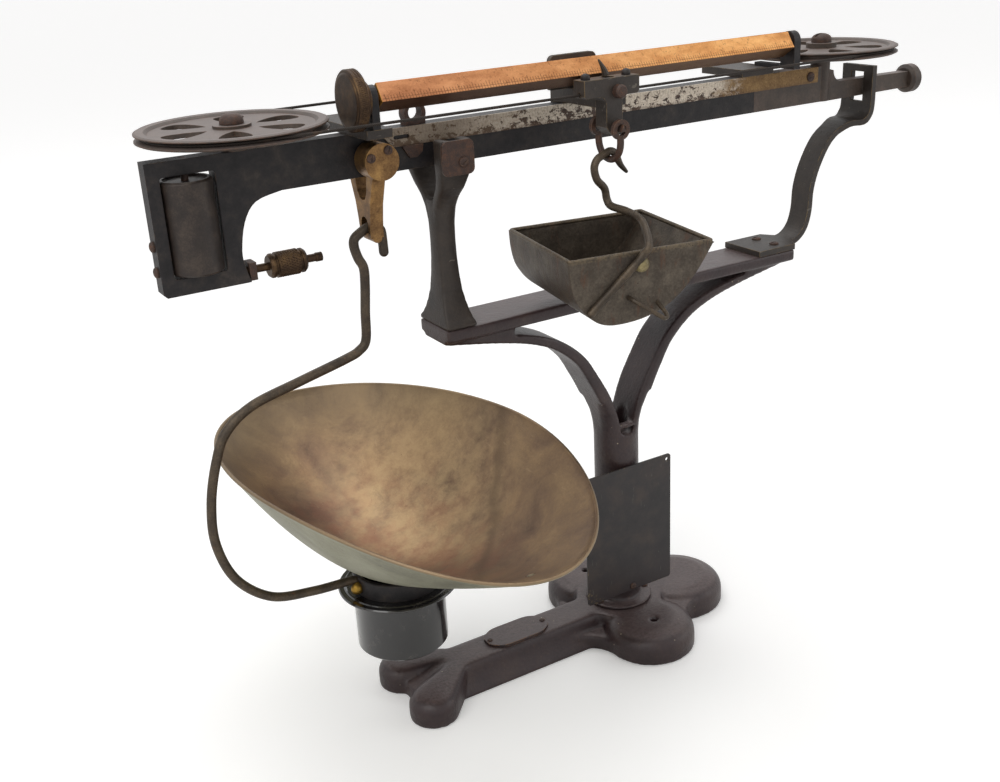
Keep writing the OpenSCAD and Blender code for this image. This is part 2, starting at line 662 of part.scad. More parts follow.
module beam_casting() color(black_iron) difference() {
    upright(-beam_t / 2, beam_t / 2) frame_outline();
    upright(-beam_t, beam_t) polygon(round_rect(-left_x + 7.7, drum_z0 - 1.5,
        -left_x + 40.5, drum_z0 + drum_l + 3, 2));
    knife_hole(-fulcrum_x, fulcrum_z, knife_h, 0);
    knife_hole(load_x, load_z, knife_h, 180);
    translate([drum_x, 0, frame_z0 + 4]) cylinder(h = frame_d, r = 2.2);
    translate([-left_hub, 0, bar_z1 - 12]) cylinder(h = 13, d = axle_d);
    along_x(0, balance_z, frame_x1 - 10, frame_x1 + 1, 2.5);
    for (z = edge_z) along_x(0, z, -left_x - 1, -left_x + 6, 1.6);
}

edge_z = [frame_z0 + 15, frame_z0 + 30.5];

module tail_outline() {
    z0 = bar_z0 - 0.5;
    polygon(concat([[right_hub, z0], [knob_x, z0 + 0.8], [knob_x, z0 + tail_h - 0.8]],
        arc([right_hub + 19, z0 + tail_h + 9], 9, 270, 180, 6), [[right_hub, z0 + tail_h + 12]]));
}

module beam_tail() color(black_iron) difference() {
    union() {
        translate([seam_x, -beam_t / 2, bar_z0]) cube([right_hub - seam_x, beam_t, bar_h]);
        translate([right_hub, 0, bar_z0]) cylinder(h = bar_h + wheel_up - slide_gap, r = axle_d / 2 + 3.4);
        upright(-tail_t / 2, tail_t / 2) tail_outline();
    }
    translate([right_hub, 0, bar_z1 - 8]) cylinder(h = wheel_up + 9, d = axle_d);
}

module tail_knob() color(iron) rotate([0, 90, 0]) translate([-bar_z0 - tail_h / 2 + 0.5, 0, knob_x])
    rotate_extrude() polygon([[0, 0], [knob_d * 0.38, 0], [knob_d / 2, 2], [knob_d / 2, 8.5],
        [knob_d / 2 - 1.5, 10.5], [0, 10.5]]);

module fulcrum_knife() color(nickel) translate([-fulcrum_x, 0, fulcrum_z])
    upright(-horn_y - horn_t + 0.5, horn_y + horn_t - 0.5) polygon(knife(knife_h));

module load_knife() color(nickel) translate([load_x, 0, load_z]) rotate([0, 180, 0])
    upright(-beam_t / 2 - 3 - boss_t + 0.5, beam_t / 2 + 3 + boss_t - 0.5) polygon(knife(knife_h));

strip_hole = [strip_x1 - 8, strip_z0 + strip_h * 0.42];
module graduated_strip() color(nickel) difference() {
    upright(strip_y - strip_t, strip_y) polygon([[strip_x0, bar_z1], [strip_x0 + 10, strip_z0],
        [strip_x1, strip_z0], [strip_x1, bar_z1]]);
    upright(strip_y - strip_t - 1, strip_y + 1)
        polygon(round_rect(strip_x0 + 11, strip_z0 + 4.6, strip_x0 + 22, strip_z0 + 7, 1));
    along_y(strip_hole[0], strip_hole[1], strip_y - 5, strip_y + 1, 1.5);
}

module strip_screws() color(rust) translate([strip_hole[0], strip_y - strip_t, strip_hole[1]])
    rotate([90, 0, 0]) screw(3.6, 1.6, 1.5, strip_t);

module strip_lug() color(rust) upright(strip_y - 2.6, strip_y)
    polygon([for (q = [[16, 0], [31, 0], [30, -5], [26, -8], [21, -8]]) [strip_x0 + q[0], strip_z0 + q[1]]]);

module drum_weight() color([0.2, 0.18, 0.16]) translate([drum_x, 0, drum_z0])
    rotate_extrude() polygon([[2.2, 0], [drum_r - 1, 0], [drum_r, 1], [drum_r, drum_l - 1.2],
        [drum_r - 1.2, drum_l], [drum_r - 2.6, drum_l], [drum_r - 2.6, drum_l - 1.5], [2.2, drum_l - 1.5]]);

module drum_spindle() color(rust) translate([drum_x, 0, frame_z0 + 4])
    cylinder(h = bar_z1 - frame_z0 - 4, r = 2.2);

module edge_screws() color(rust) for (z = edge_z) translate([-left_x, 0, z])
    rotate([0, -90, 0]) screw(3.3, 2.6, 1.6, 6);

module cross_plates() color(green_iron) {
    translate([prism_x0 - 10.9, -prism_y - 7, bar_z1]) cube([16.9, prism_y + 52, cross_t]);
    translate([prism_x1 - 22, plate_front, bar_z1]) cube([30.6, 38 - plate_front, cross_t]);
}

function tab_outline(h) = concat([[-prism_y - 7, cross_z1], [-prism_y + 7, cross_z1]],
    arc([-prism_y, prism_z + h], 7, 0, 180, 10));

module prism_post() color(black_iron) difference() {
    crosswise(prism_x0 - 6.4, prism_x0 - 1.4) polygon(tab_outline(1));
    along_x(-prism_y, prism_z, prism_x0 - 9, prism_x0 + 1, shaft_d / 2 + run_gap);
}

module prism_bracket() color(black_iron) difference() {
    crosswise(prism_x1 + 2, prism_x1 + 8) union() {
        polygon(tab_outline(2));
        translate([-prism_y - 7, cross_z1]) square([prism_y + 7 + beam_t / 2, 2.8]);
    }
    along_x(-prism_y, prism_z, prism_x1, prism_x1 + 10, shaft_d / 2 + run_gap);
}

stop_x = -fulcrum_x - 15.5;
module travel_stop() color(rust) difference() {
    union() {
        along_y(stop_x, bar_z1 + 7, -4, 4, 7.6);
        translate([stop_x - 7, -4, bar_z1]) cube([14, 8, 3]);
    }
    along_y(stop_x, bar_z1 + 7.6, -5, 5, 4.8);
    translate([stop_x - 9, -5, bar_z1 - 4]) cube([18, 10, 4]);
}

module balance_block() color(rust) difference() {
    translate([frame_x1, -5, frame_z0 + 0.5]) cube([4.5, 10, 11]);
    along_x(0, balance_z, frame_x1 - 1, frame_x1 + 6, 2.5);
}

module balance_rod() color(brass) {
    along_x(0, balance_z, frame_x1 - 10, rod_end - 4, 2.5);
    along_x(0, balance_z, rod_end - 4, rod_end, 2.9);
}

module balance_nut() color(brass) translate([nut_x, 0, balance_z]) rotate([0, 90, 0]) {
    r = nut_d / 2;
    rotate_extrude() polygon([[2.5 + run_gap, 0], [r * 0.8, 0], [r * 0.95, 1.5], [r * 0.95, 3],
        [r * 0.84, 3.4], [r * 0.84, 4.6], [r, 5], [r, nut_l - 5], [r * 0.84, nut_l - 4.6],
        [r * 0.84, nut_l - 3.4], [r * 0.95, nut_l - 3], [r * 0.95, nut_l - 1.5], [r * 0.8, nut_l],
        [2.5 + run_gap, nut_l]]);
}

// Pulleys, axles and cord
module left_axle() color(iron) translate([-left_hub, 0, 0]) {
    translate([0, 0, bar_z1]) cylinder(h = wheel_up - slide_gap, r = axle_d / 2 + 4);
    translate([0, 0, bar_z1 - 12]) cylinder(h = 12 + wheel_up + wheel_t + 1.5, d = axle_d);
}

module left_axle_nut() color(rust) translate([-left_hub, 0, wheel_z + wheel_t + slide_gap])
    difference() {
        rotate_extrude() polygon(dome(axle_d / 2 + 3.2, 5.8, 5));
        translate([0, 0, -1]) cylinder(h = 2.2 + run_gap, d = axle_d);
    }

module right_axle_screw() color(rust) translate([right_hub, 0, wheel_z + wheel_t + 2 + slide_gap])
    screw(axle_d / 2 + 3.6, 6.5, axle_d / 2, wheel_t + 2 + slide_gap + wheel_up + 7.9);

function rim_profile() = let (c = cord_run, r = wheel_r, t = wheel_t, m = wheel_t / 2,
    g = cord_d / 2 + slide_gap) [[r - 8, 0.4], [r - 1.5, 0], [r, 0.7], [r, m - g - 0.6],
    [c, m - g], [c - g, m - 0.5 * g], [c - g, m + 0.5 * g], [c, m + g], [r, m + g + 0.6],
    [r, t - 0.7], [r - 1.5, t], [r - 6, t - 0.2], [r - 8, t * 0.74]];

// A leaf-shaped window, pointed towards the hub, in shares of the wheel's radius
function window_outline() = let (half = curve([[0.3, 0], [0.4, 0.075], [0.53, 0.135],
    [0.66, 0.165], [0.745, 0.14], [0.785, 0.07], [0.79, 0]], 3), k = len(half))
    [for (i = [0:2 * k - 3]) wheel_r * (i < k ? [half[i][0], -half[i][1]]
        : [half[2 * k - 2 - i][0], half[2 * k - 2 - i][1]])];

module pulley(hub_up) {
    difference() {
        union() {
            rotate_extrude($fn = 96) polygon(rim_profile());
            translate([0, 0, wheel_t * 0.28]) difference() {
                cylinder(h = wheel_t * 0.44, r = wheel_r - 7.6, $fn = 96);
                for (i = [0:wheel_n - 1]) rotate(360 * i / wheel_n)
                    translate([0, 0, -1]) linear_extrude(wheel_t) polygon(window_outline());
            }
            cylinder(h = wheel_t + hub_up, r = axle_d / 2 + 7.4);
        }
        translate([0, 0, -1]) cylinder(h = wheel_t + hub_up + 2, r = axle_d / 2 + run_gap);
    }
}

module left_pulley() color(iron) translate([-left_hub, 0, wheel_z]) rotate(14) pulley(0);

module right_pulley() color(iron) translate([right_hub, 0, wheel_z]) rotate(9) pulley(2);

module cord_loop() color(black_iron) {
    r = cord_d / 2;
    for (s = [-1, 1]) along_x(s * cord_run, cord_z, -left_hub, right_hub, r);
    translate([-left_hub, 0, cord_z]) rotate(90) rotate_extrude(angle = 180, $fn = 72)
        translate([cord_run, 0]) circle(r, $fn = 16);
    translate([right_hub, 0, cord_z]) rotate(-90) rotate_extrude(angle = 180, $fn = 72)
        translate([cord_run, 0]) circle(r, $fn = 16);
}

// Reading prism
module reading_prism() color(copper) {
    translate([prism_x0, -prism_y, prism_z]) rotate([prism_turn, 0, 0])
        translate([0, -prism_s / 2, -prism_s / 2]) cube([prism_l, prism_s, prism_s]);
    along_x(-prism_y, prism_z, prism_x0 - 12, prism_x0, shaft_d / 2);
    along_x(-prism_y, prism_z, prism_x1, prism_x1 + 9.5, shaft_d / 2);
}

module prism_knob() color(brass) translate([prism_x0 - 19.4, -prism_y, prism_z]) rotate([0, 90, 0])
    difference() {
        rotate_extrude($fn = 96) polygon([[0, 0], [knob_r - 2, 0], [knob_r - 2, 0.8], [knob_r - 0.8, 0.8],
            [knob_r, 1.6], [knob_r, 6.8], [knob_r - 0.8, 7.6], [knob_r * 0.6, 7.6],
            [knob_r * 0.6, 12.4], [0, 12.4]]);
        translate([0, 0, 7.4]) cylinder(h = 6, d = shaft_d);
    }

// Poise
module poise_block() color(green_iron) difference() {
    x1 = poise_x0 + poise_l;
    s0 = poise_x - stem_w / 2;
    s1 = poise_x + stem_w / 2;
    stem_z0 = poise_z1 - stem_d;
    upright(poise_front, poise_front + poise_t) polygon(concat([[s1, stem_z0 + 3], [s1, poise_z0],
        [x1 - 1.5, poise_z0], [x1, poise_z0 + 1.5], [x1, poise_z1], [poise_x0, poise_z1],
        [poise_x0, poise_z0 + 1.5], [poise_x0 + 1.5, poise_z0]],
        arc([s0 - 4.5, poise_z0 - 4.5], 4.5, 90, 0, 4), [[s0, stem_z0 + 5], [s0 + 4, stem_z0],
        [s1 - 3, stem_z0]]));
    along_x(poise_mid, cord_z, poise_x0 - 1, x1 + 1, cord_d / 2 + slide_gap + 0.3);
    translate([poise_x, 0, hang_z]) rotate([0, 180, 0]) upright(-90, 90) polygon(knife(hang_h));
    translate([poise_x - 0.4, poise_mid, poise_z1 - 4]) cylinder(h = 5, d = 8);
    for (x = poise_bolts) translate([x, poise_mid, poise_z1 - 6]) cylinder(h = 7, r = 1.6);
    along_y(poise_x + 3, poise_z0 + 2.6, poise_front - 1, poise_front + 3, 2.4);
}

poise_bolts = [poise_x0 + 5, poise_x0 + poise_l - 6.2];
module poise_screws() color(rust) for (x = poise_bolts)
    translate([x, poise_mid, poise_z1]) rotate(x) screw(3, 4, 1.6, 6);

module poise_boss() color(rust) translate([poise_x + 3, poise_front, poise_z0 + 2.6])
    rotate([90, 0, 0]) rotate_extrude()
        polygon([[0, -3], [2.4, -3], [2.4, 0], [4.4, 0], [4.4, 4], [3.4, 5.2], [0, 5.6]]);

module poise_knife() color(rust) translate([poise_x, 0, hang_z]) rotate([0, 180, 0])
    upright(poise_mid - eye_y - 4, poise_mid + eye_y + 4) polygon(knife(hang_h));

module pointer() color(green_iron) {
    y = poise_front + poise_t - 2;
    p = curve([[poise_x + 0.6, y, poise_z1 + 0.7], [poise_x - 0.4, y, poise_z1 + 4],
        [poise_x - 2.6, y + 0.4, poise_z1 + 8], [poise_x - 4.4, y + 0.8, poise_z1 + 11]], 3);
    rod(p, [for (i = [0:len(p) - 1]) 2.6 - 2.1 * i / (len(p) - 1)], 8, [0, 1, 0]);
}

cross_x0 = poise_x - 4;
cross_l = 22;
cross_top = bar_z1 + 11;
module cross_block() color(green_iron) difference() {
    union() {
        translate([cross_x0, poise_front + poise_t, bar_z1 + 1])
            cube([cross_l, -poise_front - poise_t + beam_t / 2 + 3.3, cross_top - bar_z1 - 1]);
        translate([cross_x0, -beam_t / 2, bar_z1 + slide_gap])
            cube([cross_l, beam_t + 3.3, 2]);
        translate([cross_x0, beam_t / 2 + slide_gap, bar_z1 - 9]) cube([cross_l, 3, 12]);
    }
    translate([cross_x0 + 7, poise_front + poise_t + 7, bar_z1]) cube([cross_l - 14, 20, 20]);
}

module back_plate() color(green_iron)
    upright(-prism_y + 14, -prism_y + 18)
        polygon(concat([[cross_x0 - 15, cross_top], [cross_x0 + cross_l, cross_top]],
            arc([cross_x0 + cross_l - 4, prism_z + 6], 4, 0, 90, 4),
            arc([cross_x0 - 11, prism_z + 6], 4, 90, 180, 4)));

// Stirrup, hanger and bucket
module stirrup() color(rust) translate([poise_x, poise_mid, 0]) {
    for (s = [-1, 1]) {
        difference() {
            along_y(0, eye_z, s * eye_y - 1.5, s * eye_y + 1.5, eye_r);
            along_y(0, eye_z, s * eye_y - 3, s * eye_y + 3, eye_hole);
        }
        translate([0, s * eye_y, loop_z]) cylinder(h = eye_z - eye_hole - 1 - loop_z, r = stirrup_r);
    }
    translate([0, 0, loop_z]) rotate([0, 90, 0]) rotate(-90)
        rotate_extrude(angle = 180) translate([eye_y, 0]) circle(stirrup_r, $fn = 24);
}

wall_y = poise_mid - bucket_l / 2 / cos(bucket_turn);
function wall_at(x) = wall_y + (x - bucket_x) * tan(bucket_turn) - hanger_r - 0.2;
hook_run = stirrup_r + hanger_r + slide_gap;
function hook_points() = [for (a = [20:26:124]) [poise_x + hook_run * cos(a), poise_mid,
    hook_z + hook_run * sin(a)]];
function hanger_path() = curve(concat(
    [[poise_x + 13.3, poise_mid, hook_z - 10], [poise_x + 8.4, poise_mid, hook_z - 4.6]],
    hook_points(),
    [[poise_x - 6, poise_mid, hook_z + 3.2], [poise_x - 10.4, poise_mid, hook_z + 0.8],
    [poise_x - 12.6, poise_mid, hook_z - 4.4],
    [poise_x - 10.6, poise_mid, hook_z - 12], [poise_x - 4.8, poise_mid, hook_z - 18.6],
    [poise_x - 3.3, poise_mid - 0.5, hook_z - 26], [poise_x - 2.6, poise_mid - 4.5, hook_z - 30],
    [poise_x - 1, poise_mid - 19, hook_z - 31.2], [poise_x + 0.6, poise_mid - 31, hook_z - 34.5],
    [poise_x - 3.6, poise_mid - 43, rim_z + 10.6]],
    [for (q = [[-9.6, 2.6, 4], [-12.4, 1.9, 0], [-15.4, 1.3, -4.4], [-19.5, 0, -9], [-33, 0, -21],
        [-48.5, 0, -34.6]]) [poise_x + q[0], wall_at(poise_x + q[0]) - q[1], rim_z + q[2]]]), 3);

module hanger_wire() color([0.3, 0.26, 0.2]) {
    p = hanger_path();
    k = len(p) - 1;
    rod(p, [for (i = [0:k]) hanger_r * min(1, 0.45 + 0.11 * i)], 10, [1, 1, -1]);
}

solder_at = [poise_x - 12.6, wall_at(poise_x - 12) + 1, rim_z - 7.6];
module solder_joint() color(brass) translate(solder_at)
    difference() {
        sphere(5.2, $fn = 24);
        rotate(bucket_turn) translate([-10, hanger_r - 1, -10]) cube([20, 20, 20]);
        translate(-solder_at) rod(hanger_path(), hanger_r + 0.02, 10, [1, 1, -1]);
    }

// The bucket's outline: steep on the left, a long slope on the right
function trough(w, d) = [for (q = curve([[-1, 0], [-0.985, 0.26], [-0.94, 0.5], [-0.86, 0.67],
    [-0.76, 0.81], [-0.62, 0.935], [-0.45, 0.995], [-0.22, 0.995], [0.03, 0.96], [0.28, 0.865],
    [0.505, 0.7], [0.725, 0.455], [0.87, 0.23], [1, 0]], 2)) [w / 2 * q[0], -d * q[1]]];

module bucket() color(sheet_metal) translate([bucket_x, poise_mid, rim_z]) rotate(bucket_turn) {
    difference() {
        upright(-bucket_l / 2, bucket_l / 2) polygon(trough(bucket_w, bucket_d));
        upright(-bucket_l / 2 + sheet_t, bucket_l / 2 - sheet_t)
            polygon(concat([[-bucket_w / 2 + sheet_t, 1]],
                trough(bucket_w - 2 * sheet_t, bucket_d - sheet_t), [[bucket_w / 2 - sheet_t, 1]]));
    }
    w = bucket_w / 2;
    l = bucket_l / 2;
    for (s = [-1, 1]) along_x(s * l, 0, -w, w, roll_r);
    for (s = [-1, 1]) along_y(s * w, 0, -l, l, roll_r);
    for (s = [-1, 1], t = [-1, 1]) translate([s * w, t * l, 0]) sphere(roll_r, $fn = 24);
}

function handle_path() = curve([for (q = [[-18.6, -0.35, -28.6], [-17.4, 7, -30.4], [-5, 12.4, -40],
    [-1.4, 12.6, -42], [1.2, 10.6, -40.6], [2.4, -0.35, -35.4]])
    [bucket_x + q[0], wall_y + (q[0]) * tan(bucket_turn) - q[1] - 1.2, rim_z + q[2]]], 3);
module bucket_handle() color([0.4, 0.35, 0.26]) rod(handle_path(), 1.5, 10, [0, 0, 1]);

// Shackle, bow, ring and cup
seat_z = load_z + run_gap - seat_r;
gap_y = beam_t / 2 + 3;
function shackle_half() = [[0, bow_z + 24], [4, bow_z + 25], [7, bow_z + 30], [gap_y, bow_z + 40],
    [gap_y, seat_z + boss_r], [gap_y + boss_t * 0.6, seat_z + 8], [gap_y + boss_t * 0.8, seat_z - 6],
    [17, bow_z + 38], [11, bow_z + 22], [9, bow_z + 12], [8, bow_z + 4], [8, bow_z], [0, bow_z]];

module shackle() color(brass) {
    difference() {
        union() {
            for (s = [0, 1]) mirror([0, s, 0])
                crosswise(load_x - shackle_t / 2, load_x + shackle_t / 2) polygon(shackle_half());
            for (s = [-1, 1]) along_y(load_x, seat_z + 2, s > 0 ? gap_y : -gap_y - boss_t,
                s > 0 ? gap_y + boss_t : -gap_y, boss_r);
        }
        along_y(load_x, seat_z, -gap_y - boss_t - 1, gap_y + boss_t + 1, seat_r);
        along_x(0, bow_z + 8.4, load_x - 10, load_x + 10, 5);
        translate([load_x - 10, -5, bow_z - 1]) cube([20, 10, 9.4]);
        for (q = disc_bolts, s = [-1, 1]) along_y(load_x + q[0], seat_z + 2 + q[1],
            s * (gap_y + boss_t) - 4, s * (gap_y + boss_t) + 4, 1.2);
    }
    along_y(load_x, bow_z, -8, 8, bar_r);
}

disc_bolts = [[-7.4, 3.2], [4.4, 6.8]];
disc_t = 1.6;
module shackle_discs() color(brass) for (s = [-1, 1]) {
    y = s * (gap_y + boss_t + disc_t / 2);
    difference() {
        along_y(load_x, seat_z + 2, y - disc_t / 2, y + disc_t / 2, boss_r);
        for (q = disc_bolts) along_y(load_x + q[0], seat_z + 2 + q[1], y - disc_t, y + disc_t, 1.2);
    }
}

module shackle_screws() color(rust) for (s = [-1, 1], q = disc_bolts)
    translate([load_x + q[0], s * (gap_y + boss_t + disc_t), seat_z + 2 + q[1]])
        rotate([s * -90, 0, 0]) rotate(70) screw(2.9, 1.5, 1.2, disc_t + 3);

hang_run = bar_r + bow_r + slide_gap;
function bow_hook() = [for (a = [0:30:120]) [load_x + hang_run * cos(a), 0, bow_z + hang_run * sin(a)]];
function bow_path() = let (d = bow_drop, o = bow_out) curve(concat(
    [[load_x + hang_run + 0.4, 0, bow_z - 12]], bow_hook(),
    [for (q = [[-7.6, 3.7], [-12.6, 0.2], [-13.4, -5], [-11.4, -12.6], [-8.2, -20], [-8.4, -32]])
        [load_x + q[0], 0, bow_z + q[1]]],
    [for (q = [[0.077, 0.2], [0.088, 0.275], [0.13, 0.301], [0.212, 0.316], [0.461, 0.346],
        [0.72, 0.38], [0.866, 0.434], [0.935, 0.506], [0.99, 0.615], [1, 0.735], [0.925, 0.855],
        [0.755, 0.94], [0.531, 0.965]])
        [load_x - q[0] * o, 0, bow_z - q[1] * d]],
    [[ring_x - ring_r - 4.4, 0, bow_z - d + 6.8], [ring_x - ring_r, 0, bow_z - d + 5]]), 3);

module bow() color([0.3, 0.26, 0.22]) difference() {
    rod(bow_path(), bow_r, 12, [0, 1, 0]);
    translate([ring_x, 0, ring_z0 - 5]) cylinder(h = ring_h + 12, r = ring_r, $fn = 96);
}

module bow_solder() color(brass) translate([ring_x - ring_r - 1.4, -3.4, bow_z - bow_drop + 1.6])
    difference() {
        sphere(4.6, $fn = 24);
        translate([ring_r + 1.4, 3.4, -20]) cylinder(h = 40, r = ring_r, $fn = 96);
        translate([-20, 3.4 - bow_r - 0.1, -20]) cube([40, 20, 40]);
    }

module pan_ring() color(black_iron) translate([ring_x, 0, ring_z0]) rotate_extrude($fn = 96)
    polygon([[ring_r - ring_t, 0], [ring_r, 0], [ring_r, ring_h - 0.8], [ring_r - 0.8, ring_h],
        [ring_r - ring_t + 0.8, ring_h], [ring_r - ring_t, ring_h - 0.8]]);

module pan_cup() color(gloss_black) translate([ring_x, 0, ring_z0 - cup_h]) rotate_extrude($fn = 96)
    polygon([[0, 0], [cup_r - 1.5, 0], [cup_r, 1.5], [cup_r, cup_h - flange_t - 1.5],
        [cup_r + 1.5, cup_h - flange_t], [flange_r - 1, cup_h - flange_t], [flange_r, cup_h - flange_t + 1],
        [flange_r, cup_h - 0.8], [flange_r - 0.8, cup_h], [flange_r - 4, cup_h], [flange_r - 4.8, cup_h + 0.7],
        [flange_r - 6, cup_h], [ring_r - ring_t, cup_h], [ring_r - ring_t, 3], [0, 3]]);

// Pan: an oval scoop whose rim drops towards the pouring lip at its near end
pan_n = 60;
pan_rings = 9;
function pan_rise(a) = pan_d - pan_lip * pow(max(0, -sin(a)), 2) - pan_dip * pow(max(0, sin(a)), 2);
function pan_power(a) = pan_p - (pan_p - lip_p) * pow(max(0, -sin(a)), 2);
function pan_ring_at(s, e, up) = [for (i = [0:pan_n - 1]) let (a = 360 * i / pan_n,
    m = unit([pan_b * cos(a), pan_a * sin(a)]))
    [s * (pan_across + pan_a * cos(a)) + e * m[0], s * (pan_along + pan_b * sin(a)) + e * m[1],
        pan_rise(a) * pow(s, pan_power(a)) + up]];
pan_profile = concat([for (i = [1:pan_rings]) [i / pan_rings, 0, 0]],
    [[1, 1.3, 0.5], [1, 1.3, 2], [1, 0, 2.6]],
    [for (i = [pan_rings:-1:1]) [i / pan_rings, -pan_t * i / pan_rings, pan_t * 0.9]]);

module pan() color(pan_brass) translate([ring_x, 0, pan_z0]) rotate(pan_turn) difference() {
    k = len(pan_profile);
    n = pan_n;
    pts = concat([[0, 0, 0]], [for (q = pan_profile) each pan_ring_at(q[0], q[1], q[2])],
        [[0, 0, pan_t]]);
    polyhedron(pts, concat([for (j = [0:n - 1]) [0, 1 + j, 1 + (j + 1) % n]],
        [for (i = [0:k - 2], j = [0:n - 1]) let (a = 1 + i * n + j, b = 1 + i * n + (j + 1) % n)
            [a, a + n, b + n, b]],
        [for (j = [0:n - 1]) [k * n + 1, 1 + (k - 1) * n + (j + 1) % n, 1 + (k - 1) * n + j]]),
        convexity = 4);
    translate([pan_across, pan_along - pan_b + 30, pan_d - pan_lip - 30]) cylinder(h = 50, d = pan_hole);
}

base_casting();
base_cover();
cover_screws();
fork_casting();
foot_screw();
bearing_pillar();
bearing_plates();
bearing_screws();
guard_loop();
loop_screws();
card();
card_screw();
beam_casting();
beam_tail();
tail_knob();
fulcrum_knife();
load_knife();
graduated_strip();
strip_screws();
strip_lug();
drum_weight();
drum_spindle();
edge_screws();
cross_plates();
prism_post();
prism_bracket();
travel_stop();
balance_block();
balance_rod();
balance_nut();
left_axle();
left_axle_nut();
right_axle_screw();
left_pulley();
right_pulley();
cord_loop();
reading_prism();
prism_knob();
poise_block();
poise_screws();
poise_boss();
poise_knife();
pointer();
cross_block();
back_plate();
stirrup();
hanger_wire();
solder_joint();
bucket();
bucket_handle();
shackle();
shackle_discs();
shackle_screws();
bow();
bow_solder();
pan_ring();
pan_cup();
pan();
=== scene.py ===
"""Looks of a counter beam scale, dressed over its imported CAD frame. Lengths in the shapes are millimetres."""
import math

import bmesh
import bpy
import numpy as np
from mathutils import Matrix, Vector


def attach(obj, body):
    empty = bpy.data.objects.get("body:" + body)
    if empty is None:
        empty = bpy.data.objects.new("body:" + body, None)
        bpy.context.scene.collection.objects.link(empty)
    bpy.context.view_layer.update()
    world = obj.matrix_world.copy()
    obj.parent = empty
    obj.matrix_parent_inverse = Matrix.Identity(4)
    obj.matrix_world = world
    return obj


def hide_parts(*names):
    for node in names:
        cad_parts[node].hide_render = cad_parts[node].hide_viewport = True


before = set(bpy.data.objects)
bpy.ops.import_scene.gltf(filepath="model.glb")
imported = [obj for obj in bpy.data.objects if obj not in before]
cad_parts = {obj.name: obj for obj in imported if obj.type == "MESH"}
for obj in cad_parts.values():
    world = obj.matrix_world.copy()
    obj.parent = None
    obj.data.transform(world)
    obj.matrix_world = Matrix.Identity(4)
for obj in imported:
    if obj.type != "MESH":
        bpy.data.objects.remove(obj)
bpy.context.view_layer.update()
MM = 0.001

# Places and sizes in millimetres, turns in radians
LOAD_X, BAR_Z = -190.3, 358.2
RING_X, RING_TOP = -195.0, 117.31
PAN_TURN, PAN_MIDDLE, PAN_HALF = math.radians(9.9), (8.4, 3.6), (103.4, 169.4)
PAN_HOLE, PAN_HOLE_R = (8.4, -135.8), 2.75
POISE_X, HOOK_Z = -40.0, 393.4
BUCKET_X, BUCKET_Y, RIM_Z = -42.6, -53.0, 342.9
BUCKET_TURN, BUCKET_HALF_Y = math.radians(-9.5), 48.5
STRIP_Z = 417.2
PRISM_Y, PRISM_Z, PRISM_TURN = -28.3, 448.2, math.radians(55)
KNOB_X = -212.0
NUT_X, NUT_Z = -262.0, 351.5


def place_camera():
    """The photograph's viewpoint: a yaw, a pitch down and a slight roll, as three unit directions."""
    yaw, pitch, roll = math.radians(59.958), math.radians(21.841), -0.0546
    ahead = Vector((math.cos(yaw) * math.cos(pitch), math.sin(yaw) * math.cos(pitch), -math.sin(pitch)))
    level = Vector((math.sin(yaw), -math.cos(yaw), 0))
    rise = level.cross(ahead)
    across = math.cos(roll) * level + math.sin(roll) * rise
    above = math.cos(roll) * rise - math.sin(roll) * level
    lens = bpy.data.cameras.new("camera")
    lens.lens, lens.sensor_width, lens.clip_start = 42.71, 36, 0.02
    camera = bpy.data.objects.new("camera", lens)
    turn = Matrix((across, above, -ahead)).transposed().to_4x4()
    turn.translation = (-0.49796, -0.68484, 0.54535)
    camera.matrix_world = turn
    bpy.context.scene.collection.objects.link(camera)
    bpy.context.scene.camera = camera


place_camera()


def tint(code):
    """A web colour as linear red, green, blue and a full alpha."""
    parts = [int(code[i:i + 2], 16) / 255 for i in (1, 3, 5)]
    return (*[p / 12.92 if p <= 0.04045 else ((p + 0.055) / 1.055) ** 2.4 for p in parts], 1)


class Wire:
    """One output of a shader node. Python's operators on it add Math nodes."""

    def __init__(self, finish, socket):
        self.finish, self.socket = finish, socket

    def maths(self, operation, *values):
        """A Math node on the values, or on this one alone."""
        return self.finish.node("ShaderNodeMath", {"operation": operation}, dict(enumerate(values or (self,))))

    def __add__(self, other):
        return self.maths("ADD", self, other)

    def __sub__(self, other):
        return self.maths("SUBTRACT", self, other)

    def __rsub__(self, other):
        return self.maths("SUBTRACT", other, self)

    def __mul__(self, other):
        return self.maths("MULTIPLY", self, other)

    def __truediv__(self, other):
        return self.maths("DIVIDE", self, other)

    def __gt__(self, other):
        return self.maths("GREATER_THAN", self, other)

    def __lt__(self, other):
        return self.maths("LESS_THAN", self, other)

    __radd__, __rmul__ = __add__, __mul__

    def rise(self, low, high):
        """0 below low, 1 above high, smooth between; low over high turns it round."""
        return self.finish.node("ShaderNodeMapRange", {"interpolation_type": "SMOOTHSTEP"},
                                {"Value": self, "From Min": low, "From Max": high})

    def size(self):
        """The value without its sign."""
        return self.maths("ABSOLUTE")

    def capped(self):
        """The value, but never over 1."""
        return self.maths("MINIMUM", self, 1)

    def into_step(self, pitch):
        """How far the value is into its step, from 0 to 1, with a step every pitch millimetres."""
        return (self * (1 / (pitch * MM))).maths("FRACT")


